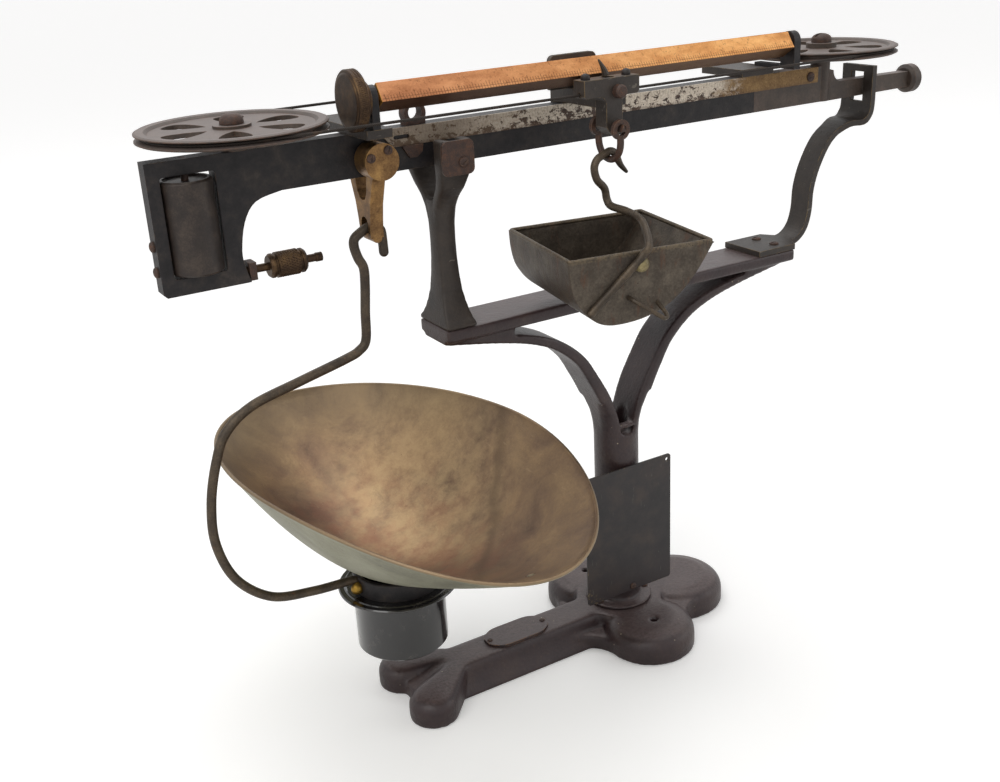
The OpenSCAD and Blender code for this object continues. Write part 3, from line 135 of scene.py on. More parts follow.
class Finish:
    """A material in the making, on the object's own coordinates in metres."""

    def __init__(self, name, **fixed):
        self.material = bpy.data.materials.new(name)
        self.material.use_nodes = True
        self.tree = self.material.node_tree
        self.shader = self.tree.nodes["Principled BSDF"]
        for key, value in fixed.items():
            self.shader.inputs[key.replace("_", " ")].default_value = value
        self.place = self.node("ShaderNodeTexCoord", out="Object")
        cut = self.node("ShaderNodeSeparateXYZ", inputs={"Vector": self.place}).socket.node
        self.x, self.y, self.z = (Wire(self, out) for out in cut.outputs)

    def node(self, kind, settings=None, inputs=None, out=0):
        """Adds one node: its settings first, then its sockets' values or links."""
        made = self.tree.nodes.new(kind)
        for key, value in (settings or {}).items():
            if key == "stops":
                ends = made.color_ramp.elements
                while len(ends) < len(value):
                    ends.new(0.5)
                for end, (at, colour) in zip(ends, value):
                    end.position, end.color = at, tint(colour)
            else:
                setattr(made, key, value)
        for key, value in (inputs or {}).items():
            if isinstance(value, Wire):
                self.tree.links.new(value.socket, made.inputs[key])
            else:
                made.inputs[key].default_value = value
        return Wire(self, made.outputs[out])

    def noise(self, size, detail=4, rough=0.55, stretch=(1, 1, 1), warp=0):
        """Cloudy noise whose patches are about size millimetres wide, drawn out by stretch."""
        place = self.node("ShaderNodeMapping", {}, {"Vector": self.place, "Scale": stretch})
        return self.node("ShaderNodeTexNoise", {}, {"Vector": place, "Scale": 1000 / size, "Detail": detail,
                                                   "Roughness": rough, "Distortion": warp})

    def spots(self, size, reach):
        """Round specks on cells size millimetres wide, each reach of a cell across."""
        far = self.node("ShaderNodeTexVoronoi", {}, {"Vector": self.place, "Scale": 1000 / size})
        return far.rise(reach, reach * 0.55)

    def mix(self, share, first, second):
        """A colour between two, by share."""
        first, second = (c if isinstance(c, Wire) else tint(c) for c in (first, second))
        return self.node("ShaderNodeMix", {"data_type": "RGBA"}, {0: share, 6: first, 7: second}, out=2)

    def ramp(self, share, *stops):
        """A colour from stops of (share, web colour)."""
        return self.node("ShaderNodeValToRGB", {"stops": stops}, {0: share})

    def rounded(self, width):
        """The surface's direction with its edges rounded over width millimetres."""
        return self.node("ShaderNodeBevel", {"samples": 6}, {"Radius": width * MM})

    def edges(self, soft, gain):
        """Near 1 where the rounded direction leaves the flat one, as on a corner."""
        flat = self.node("ShaderNodeNewGeometry", out="Normal")
        same = self.node("ShaderNodeVectorMath", {"operation": "DOT_PRODUCT"}, {0: soft, 1: flat}, out="Value")
        return ((1 - same) * gain).capped()

    def facing_up(self):
        """How far the surface faces up: 1 on a level top, -1 underneath."""
        flat = self.node("ShaderNodeNewGeometry", out="Normal")
        return self.node("ShaderNodeSeparateXYZ", inputs={"Vector": flat}, out=2)

    def done(self, colour, rough=None, metal=None, height=None, depth=0.1, soft=None, glow=None):
        """Links what varies to the shader; height is a relief depth millimetres deep."""
        if height is not None:
            under = {"Normal": soft} if soft else {}
            soft = self.node("ShaderNodeBump", {}, {"Height": height, "Distance": depth * MM, "Strength": 1, **under})
        sockets = {"Base Color": colour, "Roughness": rough, "Metallic": metal, "Normal": soft,
                   "Emission Strength": glow}
        for key, value in sockets.items():
            if isinstance(value, Wire):
                self.tree.links.new(value.socket, self.shader.inputs[key])
            elif value is not None:
                self.shader.inputs[key].default_value = value
        return self.material


def casting_enamel():
    """Maroon-brown enamel on iron castings: cloudy tone, painted sheen of the light above on level tops, orange-brown
    worn edges, pale specks.
    """
    f = Finish("worn maroon enamel", Specular_IOR_Level=0.42)
    cloud, fine, soft = f.noise(26, 5), f.noise(2.2, 5, 0.6), f.rounded(0.9)
    wear = f.edges(soft, 9) * f.noise(5, 4).rise(0.42, 0.62)
    tone = f.ramp(cloud * 0.7 + fine * 0.3,
                  (0.3, "#231a1a"), (0.5, "#332627"), (0.62, "#3b2d2b"), (0.8, "#4d3e38"))
    tone = f.mix(f.noise(7, 6, 0.7).rise(0.6, 0.72) * 0.4, tone, "#5a4334")
    # painted sheen: level tops are lightened where the light from above would reflect
    tone = f.mix(f.facing_up().rise(0.75, 0.98) * (fine * 0.5 + 0.02), tone, "#857674")
    tone = f.mix(wear * 0.85, tone, "#8b6136")
    tone = f.mix(f.spots(9, 0.07) * f.noise(30).rise(0.45, 0.6), tone, "#a89a84")
    return f.done(tone, 0.26 + fine * 0.24 + wear * 0.1, None, fine + cloud * 2, 0.35, soft)


def rubbed_iron():
    """Dark brown-black iron of the pillar, loop and carriage: rubbed bright on its edges, lightly scratched."""
    f = Finish("rubbed green-black iron", Specular_IOR_Level=0.4)
    cloud, fine, soft = f.noise(14, 5), f.noise(1.6, 5, 0.6), f.rounded(0.8)
    scratch = f.noise(3, 2, 0.5, (0.25, 1.4, 1.0), 0.6).rise(0.7, 0.74)
    wear = f.edges(soft, 8) * f.noise(4, 4).rise(0.36, 0.6)
    tone = f.ramp(cloud * 0.65 + fine * 0.35,
                  (0.3, "#211b18"), (0.52, "#312a25"), (0.68, "#3b322b"), (0.8, "#4f4234"))
    tone = f.mix(wear * 0.8, tone, "#8a7452")
    tone = f.mix(scratch * 0.3, tone, "#8f877a")
    return f.done(tone, 0.34 + fine * 0.28, wear * 0.6, fine + cloud, 0.25, soft)


def beam_iron():
    """Near-black iron of the beam with faint grey-brown mottling."""
    f = Finish("black beam iron", Specular_IOR_Level=0.3)
    cloud, fine, soft = f.noise(11, 6, 0.62), f.noise(1.4, 4, 0.6), f.rounded(0.7)
    wear = f.edges(soft, 7) * f.noise(5, 4).rise(0.45, 0.65)
    tone = f.ramp(cloud, (0.35, "#191718"), (0.5, "#232021"), (0.62, "#2e2927"), (0.78, "#463e39"))
    tone = f.mix(wear * 0.7, tone, "#6a5544")
    return f.done(tone, 0.34 + fine * 0.25, None, fine + cloud, 0.2, soft)


def wheel_iron():
    """Brown-grey iron of the pulleys, the left axle and the beam's tail: painted sheen of the light above on level
    tops, browner worn edges.
    """
    f = Finish("brown wheel iron", Specular_IOR_Level=0.45)
    cloud, fine, soft = f.noise(16, 5), f.noise(1.8, 5, 0.62), f.rounded(0.6)
    wear = f.edges(soft, 8) * f.noise(6, 4).rise(0.38, 0.6)
    tone = f.ramp(cloud * 0.6 + fine * 0.4,
                  (0.3, "#2c2421"), (0.5, "#42372f"), (0.66, "#54463e"), (0.8, "#6b5c51"))
    # painted sheen: level tops are lightened where the light from above would reflect
    tone = f.mix(f.facing_up().rise(0.75, 0.98) * (fine * 0.5 + 0.12), tone, "#8c807c")
    tone = f.mix(wear * 0.75, tone, "#7a5239")
    return f.done(tone, 0.4 + fine * 0.25, None, fine + cloud, 0.2, soft)


def rusted_steel():
    """Brown rust over steel fasteners and the poise's hooks: orange-brown blooms and dark pits."""
    f = Finish("brown rusted steel", Specular_IOR_Level=0.4)
    cloud, fine, soft = f.noise(5, 5, 0.65), f.noise(0.8, 4, 0.65), f.rounded(0.35)
    wear = f.edges(soft, 6) * cloud.rise(0.4, 0.6)
    tone = f.ramp(cloud * 0.6 + fine * 0.4,
                  (0.3, "#241a17"), (0.48, "#3b2a23"), (0.62, "#553828"), (0.8, "#704a30"))
    tone = f.mix(wear * 0.7, tone, "#96806a")
    return f.done(tone, 0.42 + fine * 0.3, wear * 0.5, fine * 1.5 + cloud, 0.16, soft)


def ground_steel():
    """Ground grey steel of the two long knives."""
    f = Finish("ground knife steel", Metallic=0.9)
    grain = f.noise(0.6, 3, 0.5, (1, 0.05, 1))
    return f.done(f.ramp(grain, (0.3, "#6a645c"), (0.7, "#8f8a80")), 0.3 + grain * 0.2)


def strip_plate():
    """Graduated strip: nickel flaked off in brown-black patches, duller to the left, bare brass at the right end."""
    f = Finish("corroded nickel strip", Specular_IOR_Level=0.5)
    cloud, fine, soft = f.noise(7, 7, 0.7, (0.8, 1, 1), 0.4), f.noise(1.5, 5, 0.7), f.rounded(0.4)
    plate = f.ramp(fine, (0.35, "#a89b8a"), (0.5, "#c9beae"), (0.68, "#ddd4c6"))
    rust = f.ramp(fine, (0.35, "#2a1f1a"), (0.5, "#40312a"), (0.68, "#66503f"))
    flake = f.noise(4.5, 8, 0.72, (0.7, 1, 1), 0.5) + (f.z - STRIP_Z * MM) * 9
    tone = f.mix(flake.rise(0.465, 0.5), rust, plate)
    dull = (f.x + cloud * 0.08).rise(0.0, -0.1)
    tone = f.mix(dull * 0.72, tone, "#5c4a37")
    bare = (f.x + cloud * 0.09).rise(0.125, 0.165)
    brass = f.ramp(fine * 0.6 + cloud * 0.4, (0.3, "#4a3825"), (0.5, "#7a5f3e"), (0.7, "#a08558"))
    tone = f.mix(bare, tone, brass)
    low = (f.z + fine * 0.004).rise((STRIP_Z + 1.3) * MM, (STRIP_Z - 1.7) * MM)
    tone = f.mix(low * 0.45, tone, "#5a4636")
    tick = (f.x.into_step(2.5) < 0.1) * (f.z > (STRIP_Z + 3.3) * MM)
    tone = f.mix(tick * 0.3, tone, "#1f1814")
    tone = f.mix(f.spots(3.4, 0.2) * fine.rise(0.45, 0.6), tone, "#1f1815")
    return f.done(tone, 0.38 + fine * 0.3, 0.35 + bare * 0.3, fine * 2 - tick, 0.12, soft)


def prism_copper():
    """Bright copper-coloured brass of the reading prism, with painted shade on its lower front face, with fine
    division lines cut along the low edge of each face."""
    f = Finish("bright copper brass", Specular_IOR_Level=0.5)
    y, z = f.y - PRISM_Y * MM, f.z - PRISM_Z * MM
    across = y * math.cos(PRISM_TURN) + z * math.sin(PRISM_TURN)
    over = z * math.cos(PRISM_TURN) - y * math.sin(PRISM_TURN)
    wide = across.size() > over.size()
    down = wide * (over - across) + across
    cloud, fine, soft = f.noise(10, 6, 0.6, (0.4, 1, 1), 0.3), f.noise(1.3, 4, 0.7), f.rounded(0.5)
    wear = f.edges(soft, 7)
    scale = (down < -0.0026) * (f.x.into_step(2) < 0.16) + (down < -0.0012) * (f.x.into_step(10) < 0.035)
    line = (down + 0.0046).size() < 0.00012
    marks = (scale + line).capped() * (f.x > -0.1915) * (f.x < 0.135)
    shade = cloud * 0.7 + fine * 0.3
    dim = f.ramp(shade, (0.3, "#8a5536"), (0.46, "#b17650"), (0.6, "#c98b60"), (0.8, "#dba478"))
    lit = f.ramp(shade, (0.3, "#b57a43"), (0.46, "#d99a5c"), (0.6, "#efb573"), (0.8, "#fbd08e"))
    tone = f.mix(f.x.rise(-0.2, 0.12), dim, lit)
    tone = f.mix(f.noise(3, 7, 0.78).rise(0.56, 0.64) * 0.6, tone, "#6f4228")
    tone = f.mix(wear * f.noise(4, 5, 0.7).rise(0.4, 0.6) * 0.8, tone, "#4d3220")
    # painted shade: the face that turns down and forward is darkened as if in shadow
    tone = f.mix(wide * (across < 0) * 0.86, tone, "#3d2a1f")
    tone = f.mix(marks * 0.75, tone, "#3a2417")
    tone = f.mix((f.x < -0.1922) * 0.8, tone, "#c08a3e")
    return f.done(tone, 0.3 + fine * 0.2, 0.82, fine - marks * 2, 0.06, soft)


def old_brass(name, dark, middle, bright, metal=0.85, round_by=0.5):
    """Handled metal: dark tarnish that thins to bright metal on edges and on broad worn clouds."""
    f = Finish(name, Metallic=metal)
    cloud, fine, soft = f.noise(9, 5, 0.6), f.noise(1.1, 5, 0.65), f.rounded(round_by)
    wear = f.edges(soft, 7) * f.noise(3, 4).rise(0.35, 0.55)
    tone = f.ramp(cloud * 0.65 + fine * 0.35, (0.32, dark), (0.5, middle), (0.72, bright))
    tone = f.mix(wear * 0.65, tone, bright)
    tone = f.mix(f.spots(2.6, 0.16) * fine.rise(0.5, 0.62), tone, dark)
    return f.done(tone, 0.3 + fine * 0.25, None, fine + cloud, 0.07, soft)


def pan_patina():
    """Sheet brass pan: brown inside, with a reddish middle, a painted sheen right of the middle, painted shade along
    the crease before the lip and painted shade towards the border; sage grey-green outside; a paler rim. u and v are
    shares of the oval's half sizes."""
    f = Finish("patinated pan brass", Metallic=0.72)
    cloud, fine = f.noise(48, 6, 0.6, warp=0.5), f.noise(2.2, 6, 0.7)
    x, y = f.x - RING_X * MM, f.y
    far = (x * x * 2.6 + y * y).maths("SQRT")
    u = (x * math.cos(PAN_TURN) + y * math.sin(PAN_TURN) - PAN_MIDDLE[0] * MM) / (PAN_HALF[0] * MM)
    v = (y * math.cos(PAN_TURN) - x * math.sin(PAN_TURN) - PAN_MIDDLE[1] * MM) / (PAN_HALF[1] * MM)
    share = (u * u + v * v).maths("SQRT")
    inner = f.ramp(cloud * 0.75 + fine * 0.25,
                   (0.34, "#59473a"), (0.46, "#745e4a"), (0.56, "#856d52"), (0.7, "#9c8361"))
    red = far.rise(0.16, 0.03) * f.noise(26, 6, 0.65).rise(0.38, 0.62)
    inner = f.mix(red * 0.75, inner, "#7c5240")
    right, back = u - 0.45, v - 0.2
    # painted sheen: a paler patch right of and behind the middle, broken up by noise
    worn = (right * right + back * back).rise(0.55, 0.0) * f.noise(16, 7, 0.7).rise(0.25, 0.7)
    inner = f.mix(worn * 0.55, inner, "#b59b73")
    # painted shade along the crease where the bowl bends into the near lip
    crease_shade = (v - u * 0.54 + cloud * 0.2 + 0.43).size()
    inner = f.mix(crease_shade.rise(0.06, 0.0) * 0.45, inner, "#4f3f31")
    stain = f.noise(13, 7, 0.7, warp=0.8).rise(0.62, 0.72) * far.rise(0.14, 0.06)
    inner = f.mix(stain * 0.5, inner, "#6d4632")
    inner = f.mix(f.noise(5, 3, 0.5, (3.0, 0.35, 0.6), 0.5).rise(0.68, 0.72) * 0.12, inner, "#c4ac88")
    # painted shade: the inside darkens towards the border, more so at the back
    border_shade = (share * (v * 0.25 + 0.85)).rise(0.72, 1.04) * 0.5
    inner = f.mix(border_shade, inner, "#655a47")
    outer = f.ramp(cloud * 0.6 + fine * 0.4, (0.32, "#646252"), (0.5, "#8a8873"), (0.7, "#a3a18c"))
    outer = f.mix(f.noise(9, 6, 0.7).rise(0.6, 0.7) * 0.5, outer, "#5d4f3c")
    tone = f.mix(f.facing_up().rise(-0.02, 0.02), outer, inner)
    tone = f.mix(share.rise(1.0, 1.006) * 0.6, tone, "#8d7b62")
    tone = f.mix(f.spots(7, 0.08) * fine.rise(0.5, 0.6) * 0.7, tone, "#4a3526")
    return f.done(tone, 0.36 + fine * 0.2, None, fine * 0.5 + cloud * 3, 0.3)


def bucket_tin():
    """Grey-brown tinned sheet of the bucket: rust stains that run down, dark specks, brassy rubbed rim."""
    f = Finish("grey bucket tin", Metallic=0.6)
    cloud, fine = f.noise(15, 6, 0.65), f.noise(1.7, 6, 0.7)
    runs = f.noise(6, 5, 0.65, (1, 1, 0.28), 0.4).rise(0.54, 0.7)
    tone = f.ramp(cloud * 0.6 + fine * 0.4,
                  (0.32, "#332c27"), (0.48, "#4c443b"), (0.6, "#60574c"), (0.78, "#7a6f60"))
    tone = f.mix(runs * 0.6, tone, "#5d4030")
    rim = f.z.rise((RIM_Z - 2.4) * MM, (RIM_Z - 0.4) * MM) * fine.rise(0.36, 0.6)
    tone = f.mix(rim * 0.35, tone, "#7d6c50")
    tone = f.mix(f.spots(4, 0.12) * cloud.rise(0.48, 0.6), tone, "#2e221b")
    return f.done(tone, 0.4 + fine * 0.22, None, fine + cloud * 3, 0.25)


def brown_rod():
    """Browned steel rod of the bow and the bucket's wire, rubbed lighter in patches."""
    f = Finish("browned steel rod", Metallic=0.45)
    cloud, fine = f.noise(12, 5, 0.62), f.noise(1.2, 5, 0.65)
    tone = f.ramp(cloud * 0.6 + fine * 0.4,
                  (0.3, "#29231d"), (0.48, "#43392e"), (0.62, "#594c3c"), (0.8, "#84745e"))
    tone = f.mix(f.noise(5, 6, 0.7).rise(0.62, 0.7) * 0.5, tone, "#6b4028")
    return f.done(tone, 0.36 + fine * 0.25, None, fine * 1.4 + cloud, 0.12)


def cup_enamel():
    """Deep black gloss of the cup, with dust and faint rub marks."""
    f = Finish("glossy black cup", Coat_Weight=0.8, Coat_Roughness=0.05)
    dust, fine, soft = f.noise(9, 6, 0.7), f.noise(1.5, 4, 0.6), f.rounded(0.6)
    tone = f.mix(dust.rise(0.52, 0.75) * 0.35, "#0e0c0d", "#4a4541")
    tone = f.mix(f.edges(soft, 6) * dust.rise(0.45, 0.6) * 0.5, tone, "#5a4c3e")
    return f.done(tone, 0.14 + dust.rise(0.45, 0.75) * 0.2, None, fine + dust, 0.05, soft)


def card_plate():
    """Dark enamelled card, left bare: cloudy black to brown, chipped at its lower left corner and edges."""
    f = Finish("dark enamelled card", Specular_IOR_Level=0.4)
    cloud, fine, soft = f.noise(24, 5, 0.6), f.noise(1.6, 5, 0.65), f.rounded(0.5)
    tone = f.ramp(cloud, (0.32, "#211f20"), (0.5, "#2c2828"), (0.68, "#3b322e"))
    low = (f.z + cloud * 0.05).rise(0.1, 0.055)
    tone = f.mix(low * 0.5, tone, "#33292a")
    corner = (f.x + f.z).rise(0.012, -0.001)
    chips = fine.rise(0.56, 0.62) * corner + f.edges(soft, 8) * f.noise(3, 4).rise(0.55, 0.62)
    tone = f.mix(chips.capped() * 0.8, tone, "#8f7d52")
    tone = f.mix(f.noise(4, 3, 0.5, (2.2, 1, 0.3), 0.5).rise(0.68, 0.71) * 0.3, tone, "#6b6a62")
    return f.done(tone, 0.38 + fine * 0.2, None, fine, 0.06, soft)


def waxed_cord():
    """Dark waxed cord, laid up in a twist: the lay is a slanted wave along the beam."""
    f = Finish("dark waxed cord", Specular_IOR_Level=0.3)
    lay = ((f.x + f.z * 0.9 + f.y * 0.4) * 5200).maths("SINE")
    fine = f.noise(0.7, 3, 0.6)
    tone = f.mix(lay * 0.35 + 0.35, "#16120f", "#3a3029")
    tone = f.mix(f.noise(12, 4).rise(0.55, 0.7) * 0.5, tone, "#4d3b2c")
    return f.done(tone, 0.6 + fine * 0.2, None, lay * 0.5 + fine, 0.12)


enamel, rubbed, black = casting_enamel(), rubbed_iron(), beam_iron()
browned, rusty, ground = wheel_iron(), rusted_steel(), ground_steel()
nickel, copper, patina = strip_plate(), prism_copper(), pan_patina()
tin, rods, gloss, card, cord = bucket_tin(), brown_rod(), cup_enamel(), card_plate(), waxed_cord()
shackle_brass = old_brass("golden-brown shackle brass", "#4a3525", "#80613f", "#b08a55")
knob_brass = old_brass("tarnished knob brass", "#291f19", "#443427", "#6d5538")
gold_solder = old_brass("brass solder", "#5f4a26", "#94742f", "#bd9a4e")
solder = old_brass("tan solder", "#4d4330", "#7a6e4c", "#a2946c", 0.4)
drum_iron = old_brass("dark drum iron", "#221d1a", "#302824", "#4a3f36", 0.25, 0.6)

FINISHES = {
    enamel: ["base_casting", "fork_casting", "base_cover"],
    rubbed: ["bearing_pillar", "guard_loop", "cross_plates", "poise_block", "pointer", "cross_block", "back_plate"],
    black: ["beam_casting", "prism_post", "prism_bracket", "pan_ring", "poise_screws"],
    browned: ["tail_knob", "beam_tail", "left_axle", "left_pulley", "right_pulley"],
    rusty: ["cover_screws", "foot_screw", "bearing_plates", "bearing_screws", "loop_screws", "card_screw",
            "strip_screws", "strip_lug", "drum_spindle", "edge_screws", "travel_stop", "balance_block",
            "left_axle_nut", "right_axle_screw", "poise_boss", "poise_knife", "stirrup", "shackle_screws"],
    ground: ["fulcrum_knife", "load_knife"], nickel: ["graduated_strip"], copper: ["reading_prism"],
    card: ["card"], cord: ["cord_loop"], gloss: ["pan_cup"], shackle_brass: ["shackle", "shackle_discs"],
    knob_brass: ["prism_knob", "balance_rod", "balance_nut"], solder: ["solder_joint"],
    gold_solder: ["bow_solder"], drum_iron: ["drum_weight"], tin: ["bucket"],
    rods: ["hanger_wire", "bucket_handle", "bow"], patina: ["pan"],
}
for finish, names in FINISHES.items():
    for name in names:
        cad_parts[name].data.materials.clear()
        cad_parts[name].data.materials.append(finish)


def merged(mesh, source):
    """Fills mesh with source's, its points joined where they lie together, so that seams and poles are closed."""
    edit = bmesh.new()
    edit.from_mesh(source)
    bmesh.ops.remove_doubles(edit, verts=edit.verts, dist=1e-6)
    edit.to_mesh(mesh)
    edit.free()


def added(name, data):
    """A new object of the data, linked into the scene."""
    made = bpy.data.objects.new(name, data)
    bpy.context.scene.collection.objects.link(made)
    return made


def settle(made):
    """Gives the object the mesh that its modifiers make of it, and drops them."""
    made.data = bpy.data.meshes.new_from_object(made.evaluated_get(bpy.context.evaluated_depsgraph_get()))
    made.modifiers.clear()


def piece(name, points, faces, body, stands_for, finish, slot):
    """A new smooth piece from points in millimetres and faces, in place of CAD nodes."""
    mesh = bpy.data.meshes.new(name)
    mesh.from_pydata((np.asarray(points) * MM).tolist(), [], [list(map(int, f)) for f in faces])
    merged(mesh, mesh)
    mesh.polygons.foreach_set("use_smooth", np.ones(len(mesh.polygons), bool))
    mesh.materials.append(finish)
    mesh.update()
    made = added(name, mesh)
    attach(made, body)
    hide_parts(*stands_for)
    return made


def softened(name, voxel, rounds):
    """A CAD casting as one flowing skin: its solid as even cells, then each point drawn to its neighbours' middle."""
    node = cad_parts[name]
    mesh = bpy.data.meshes.new(name + "_skin")
    merged(mesh, node.data)
    made = added(name + "_skin", mesh)
    cells = made.modifiers.new("cells", "REMESH")
    cells.mode, cells.voxel_size, cells.use_smooth_shade = "VOXEL", voxel * MM, True
    ease = made.modifiers.new("ease", "SMOOTH")
    ease.factor, ease.iterations = 0.5, rounds
    settle(made)
    made.data.materials.clear()
    made.data.materials.append(node.data.materials[0])
    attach(made, "stand")
    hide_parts(name)


def net(rows, columns, closed=True):
    """Four-sided faces between neighbouring rows of a grid; closed joins each row's ends."""
    i = np.arange(rows - 1)[:, None] * columns
    j = np.arange(columns if closed else columns - 1)[None, :]
    k = (j + 1) % columns
    return np.stack([i + j, i + k, i + columns + k, i + columns + j], -1).reshape(-1, 4)


def round_turn(count):
    """Angles of count even steps round a circle."""
    return np.arange(count) * 2 * np.pi / count


def circles(sides, side, other):
    """Unit circles of points in the planes that each pair of directions spans."""
    turn = round_turn(sides)[None, :, None]
    return np.cos(turn) * side[:, None] + np.sin(turn) * other[:, None]


def turned_flat(points, angle, foot):
    """The points turned about Z and moved to stand at foot."""
    c, s = math.cos(angle), math.sin(angle)
    return np.asarray(points) @ np.array([[c, s, 0], [-s, c, 0], [0, 0, 1]]) + foot


def smooth_line(points, steps):
    """A Catmull-Rom line through the points: the usual cubic of each point and its three neighbours."""
    p = np.asarray(points, float)
    q = np.vstack([p[:1], p, p[-1:]])
    t = (np.arange(steps) / steps)[None, :, None]
    a, b, c, d = (q[i:len(q) - 3 + i, None] for i in range(4))
    line = 0.5 * (2 * b + (c - a) * t + (2 * a - 5 * b + 4 * c - d) * t ** 2 + (3 * b - a - 3 * c + d) * t ** 3)
    return np.vstack([line.reshape(-1, p.shape[1]), p[-1:]])


def tube(line, radius, sides, up):
    """A circle of the radius carried along a line, with a half ball on each end. radius may change on the way."""
    radius = np.broadcast_to(radius, len(line)).astype(float)
    ahead = np.gradient(line, axis=0)
    ahead /= np.linalg.norm(ahead, axis=1, keepdims=True)
    bow = np.radians(np.arange(0, 90, 15))[:, None]
    first = line[0] - ahead[0] * radius[0] * np.cos(bow)
    last = line[-1] + ahead[-1] * radius[-1] * np.cos(bow[::-1])
    centre = np.vstack([first, line, last])
    size = np.concatenate([radius[0] * np.sin(bow[:, 0]), radius, radius[-1] * np.sin(bow[::-1, 0])])
    size = np.maximum(size, 0.01)
    way = np.vstack([np.repeat(ahead[:1], len(bow), 0), ahead, np.repeat(ahead[-1:], len(bow), 0)])
    side = np.cross(way, up)
    side /= np.linalg.norm(side, axis=1, keepdims=True)
    points = centre[:, None] + size[:, None, None] * circles(sides, side, np.cross(way, side))
    rows = len(centre)
    caps = [list(range(sides - 1, -1, -1)), list(range((rows - 1) * sides, rows * sides))]
    return points.reshape(-1, 3), net(rows, sides).tolist() + caps


def ring_tube(path, radius, sides):
    """A circle of the radius carried round a closed level path."""
    way = np.roll(path, -1, 0) - np.roll(path, 1, 0)
    way /= np.linalg.norm(way, axis=1, keepdims=True)
    points = path[:, None] + radius * circles(sides, np.cross(way, (0, 0, 1)), np.array([[0, 0, 1]]))
    points = np.vstack([points.reshape(-1, 3), points[0]])
    return points, net(len(path) + 1, sides)[:, ::-1]


def turned(corners, step, columns, centre, relief):
    """A profile turned round an axis along X. Its corners are (distance along X, radius), the straight runs
    between them have points no further apart than step, and relief adds to the radius."""
    c = np.asarray(corners, float)
    runs = [np.linspace(a, b, max(2, int(np.ceil(np.linalg.norm(b - a) / step)) + 1))[:-1] for a, b in zip(c, c[1:])]
    p = np.vstack(runs + [c[-1:]])
    angle = round_turn(columns)
    radius = np.maximum(p[:, 1:2] + relief(p[:, :1], angle[None, :]), 0.01)
    points = np.stack([np.broadcast_to(p[:, :1], radius.shape), radius * np.cos(angle), radius * np.sin(angle)], -1)
    caps = [list(range(columns)), list(range(len(p) * columns - 1, (len(p) - 1) * columns - 1, -1))]
    return points.reshape(-1, 3) + centre, net(len(p), columns)[:, ::-1].tolist() + caps


softened("base_casting", 1.25, 18)
softened("fork_casting", 1.3, 8)
softened("bearing_pillar", 0.9, 8)


def bow_line():
    """The bow's middle line: a hook round the shackle's bar, a short kink, then the long sweep under the pan,
    whose points are shares of its reach to the left and of its drop. The last two points lie by the ring."""
    hook, reach, drop = 6.675, 130.5, 248
    line = [[hook + 0.4, -12]]
    line += [[hook * math.cos(a), hook * math.sin(a)] for a in np.radians(np.arange(0, 121, 30))]
    line += [[-7.6, 3.7], [-12.6, 0.2], [-13.4, -5], [-11.4, -12.6], [-8.2, -20], [-8.4, -32]]
    line += [[-a * reach, -b * drop] for a, b in
             [(0.077, 0.2), (0.088, 0.275), (0.13, 0.301), (0.212, 0.316), (0.461, 0.346), (0.72, 0.38),
              (0.866, 0.434), (0.935, 0.506), (0.99, 0.615), (1, 0.735), (0.925, 0.855), (0.755, 0.94),
              (0.531, 0.965)]]
    line = [[LOAD_X + x, 0, BAR_Z + z] for x, z in line]
    return smooth_line(line + [[RING_X - 36.4, 0, BAR_Z - 241.2], [RING_X - 33, 0, BAR_Z - 242.8]], 10)


piece("bow_rod", *tube(bow_line(), 3.17, 28, (0, 1, 0)), "bow", ["bow"], rods, "wire_brown")

SLOPE = math.tan(BUCKET_TURN)
WALL_Y = BUCKET_Y - BUCKET_HALF_Y / math.cos(BUCKET_TURN)


def hanger_line():
    """The bucket wire's middle line: its pointed tip, the hook in the stirrup, the double bend down to the
    bucket's front wall, and the straight slope along that wall."""
    hook, off_wall = 5.2, 2.8
    line = [[13.3, 0, -10], [8.4, 0, -4.6]]
    line += [[hook * math.cos(a), 0, hook * math.sin(a)] for a in np.radians(np.arange(20, 125, 26))]
    line += [[-6, 0, 3.2], [-10.4, 0, 0.8], [-12.6, 0, -4.4], [-10.6, 0, -12], [-4.8, 0, -18.6], [-3.3, -0.5, -26],
             [-2.6, -4.5, -30], [-1, -19, -31.2], [0.6, -31, -34.5]]
    line = [[POISE_X + x, BUCKET_Y + y, HOOK_Z + z] for x, y, z in line]
    line += [[POISE_X - 3.6, BUCKET_Y - 43, RIM_Z + 10.6]]
    line += [[POISE_X + x, WALL_Y + (POISE_X + x - BUCKET_X) * SLOPE - off_wall - y, RIM_Z + z] for x, y, z in
             [(-9.6, 2.6, 4), (-12.4, 1.9, 0), (-15.4, 1.3, -4.4), (-19.5, 0, -9), (-33, 0, -21), (-48.5, 0, -34.6)]]
    return smooth_line(line, 9)


wire = hanger_line()
wire_size = 2.6 * np.minimum(1, 0.45 + 0.11 * np.arange(len(wire)) / 3)
piece("hanger_rod", *tube(wire, wire_size, 24, (1, 1, -1)), "bucket", ["hanger_wire"], rods, "wire_brown")


def grab_line():
    """The small handle's middle line: out from the bucket's front wall, down along it, and back in."""
    off_wall = 1.2
    line = [[-18.6, -0.35, -28.6], [-17.4, 7, -30.4], [-5, 12.4, -40], [-1.4, 12.6, -42], [1.2, 10.6, -40.6],
            [2.4, -0.35, -35.4]]
    return smooth_line([[BUCKET_X + x, WALL_Y + x * SLOPE - y - off_wall, RIM_Z + z] for x, y, z in line], 8)


piece("bucket_grab", *tube(grab_line(), 1.5, 16, (0, 0, 1)), "bucket", ["bucket_handle"], rods, "wire_brown")


def in_bucket(points):
    """The bucket's own points, turned and put under the poise."""
    return turned_flat(points, BUCKET_TURN, [BUCKET_X, BUCKET_Y, RIM_Z])


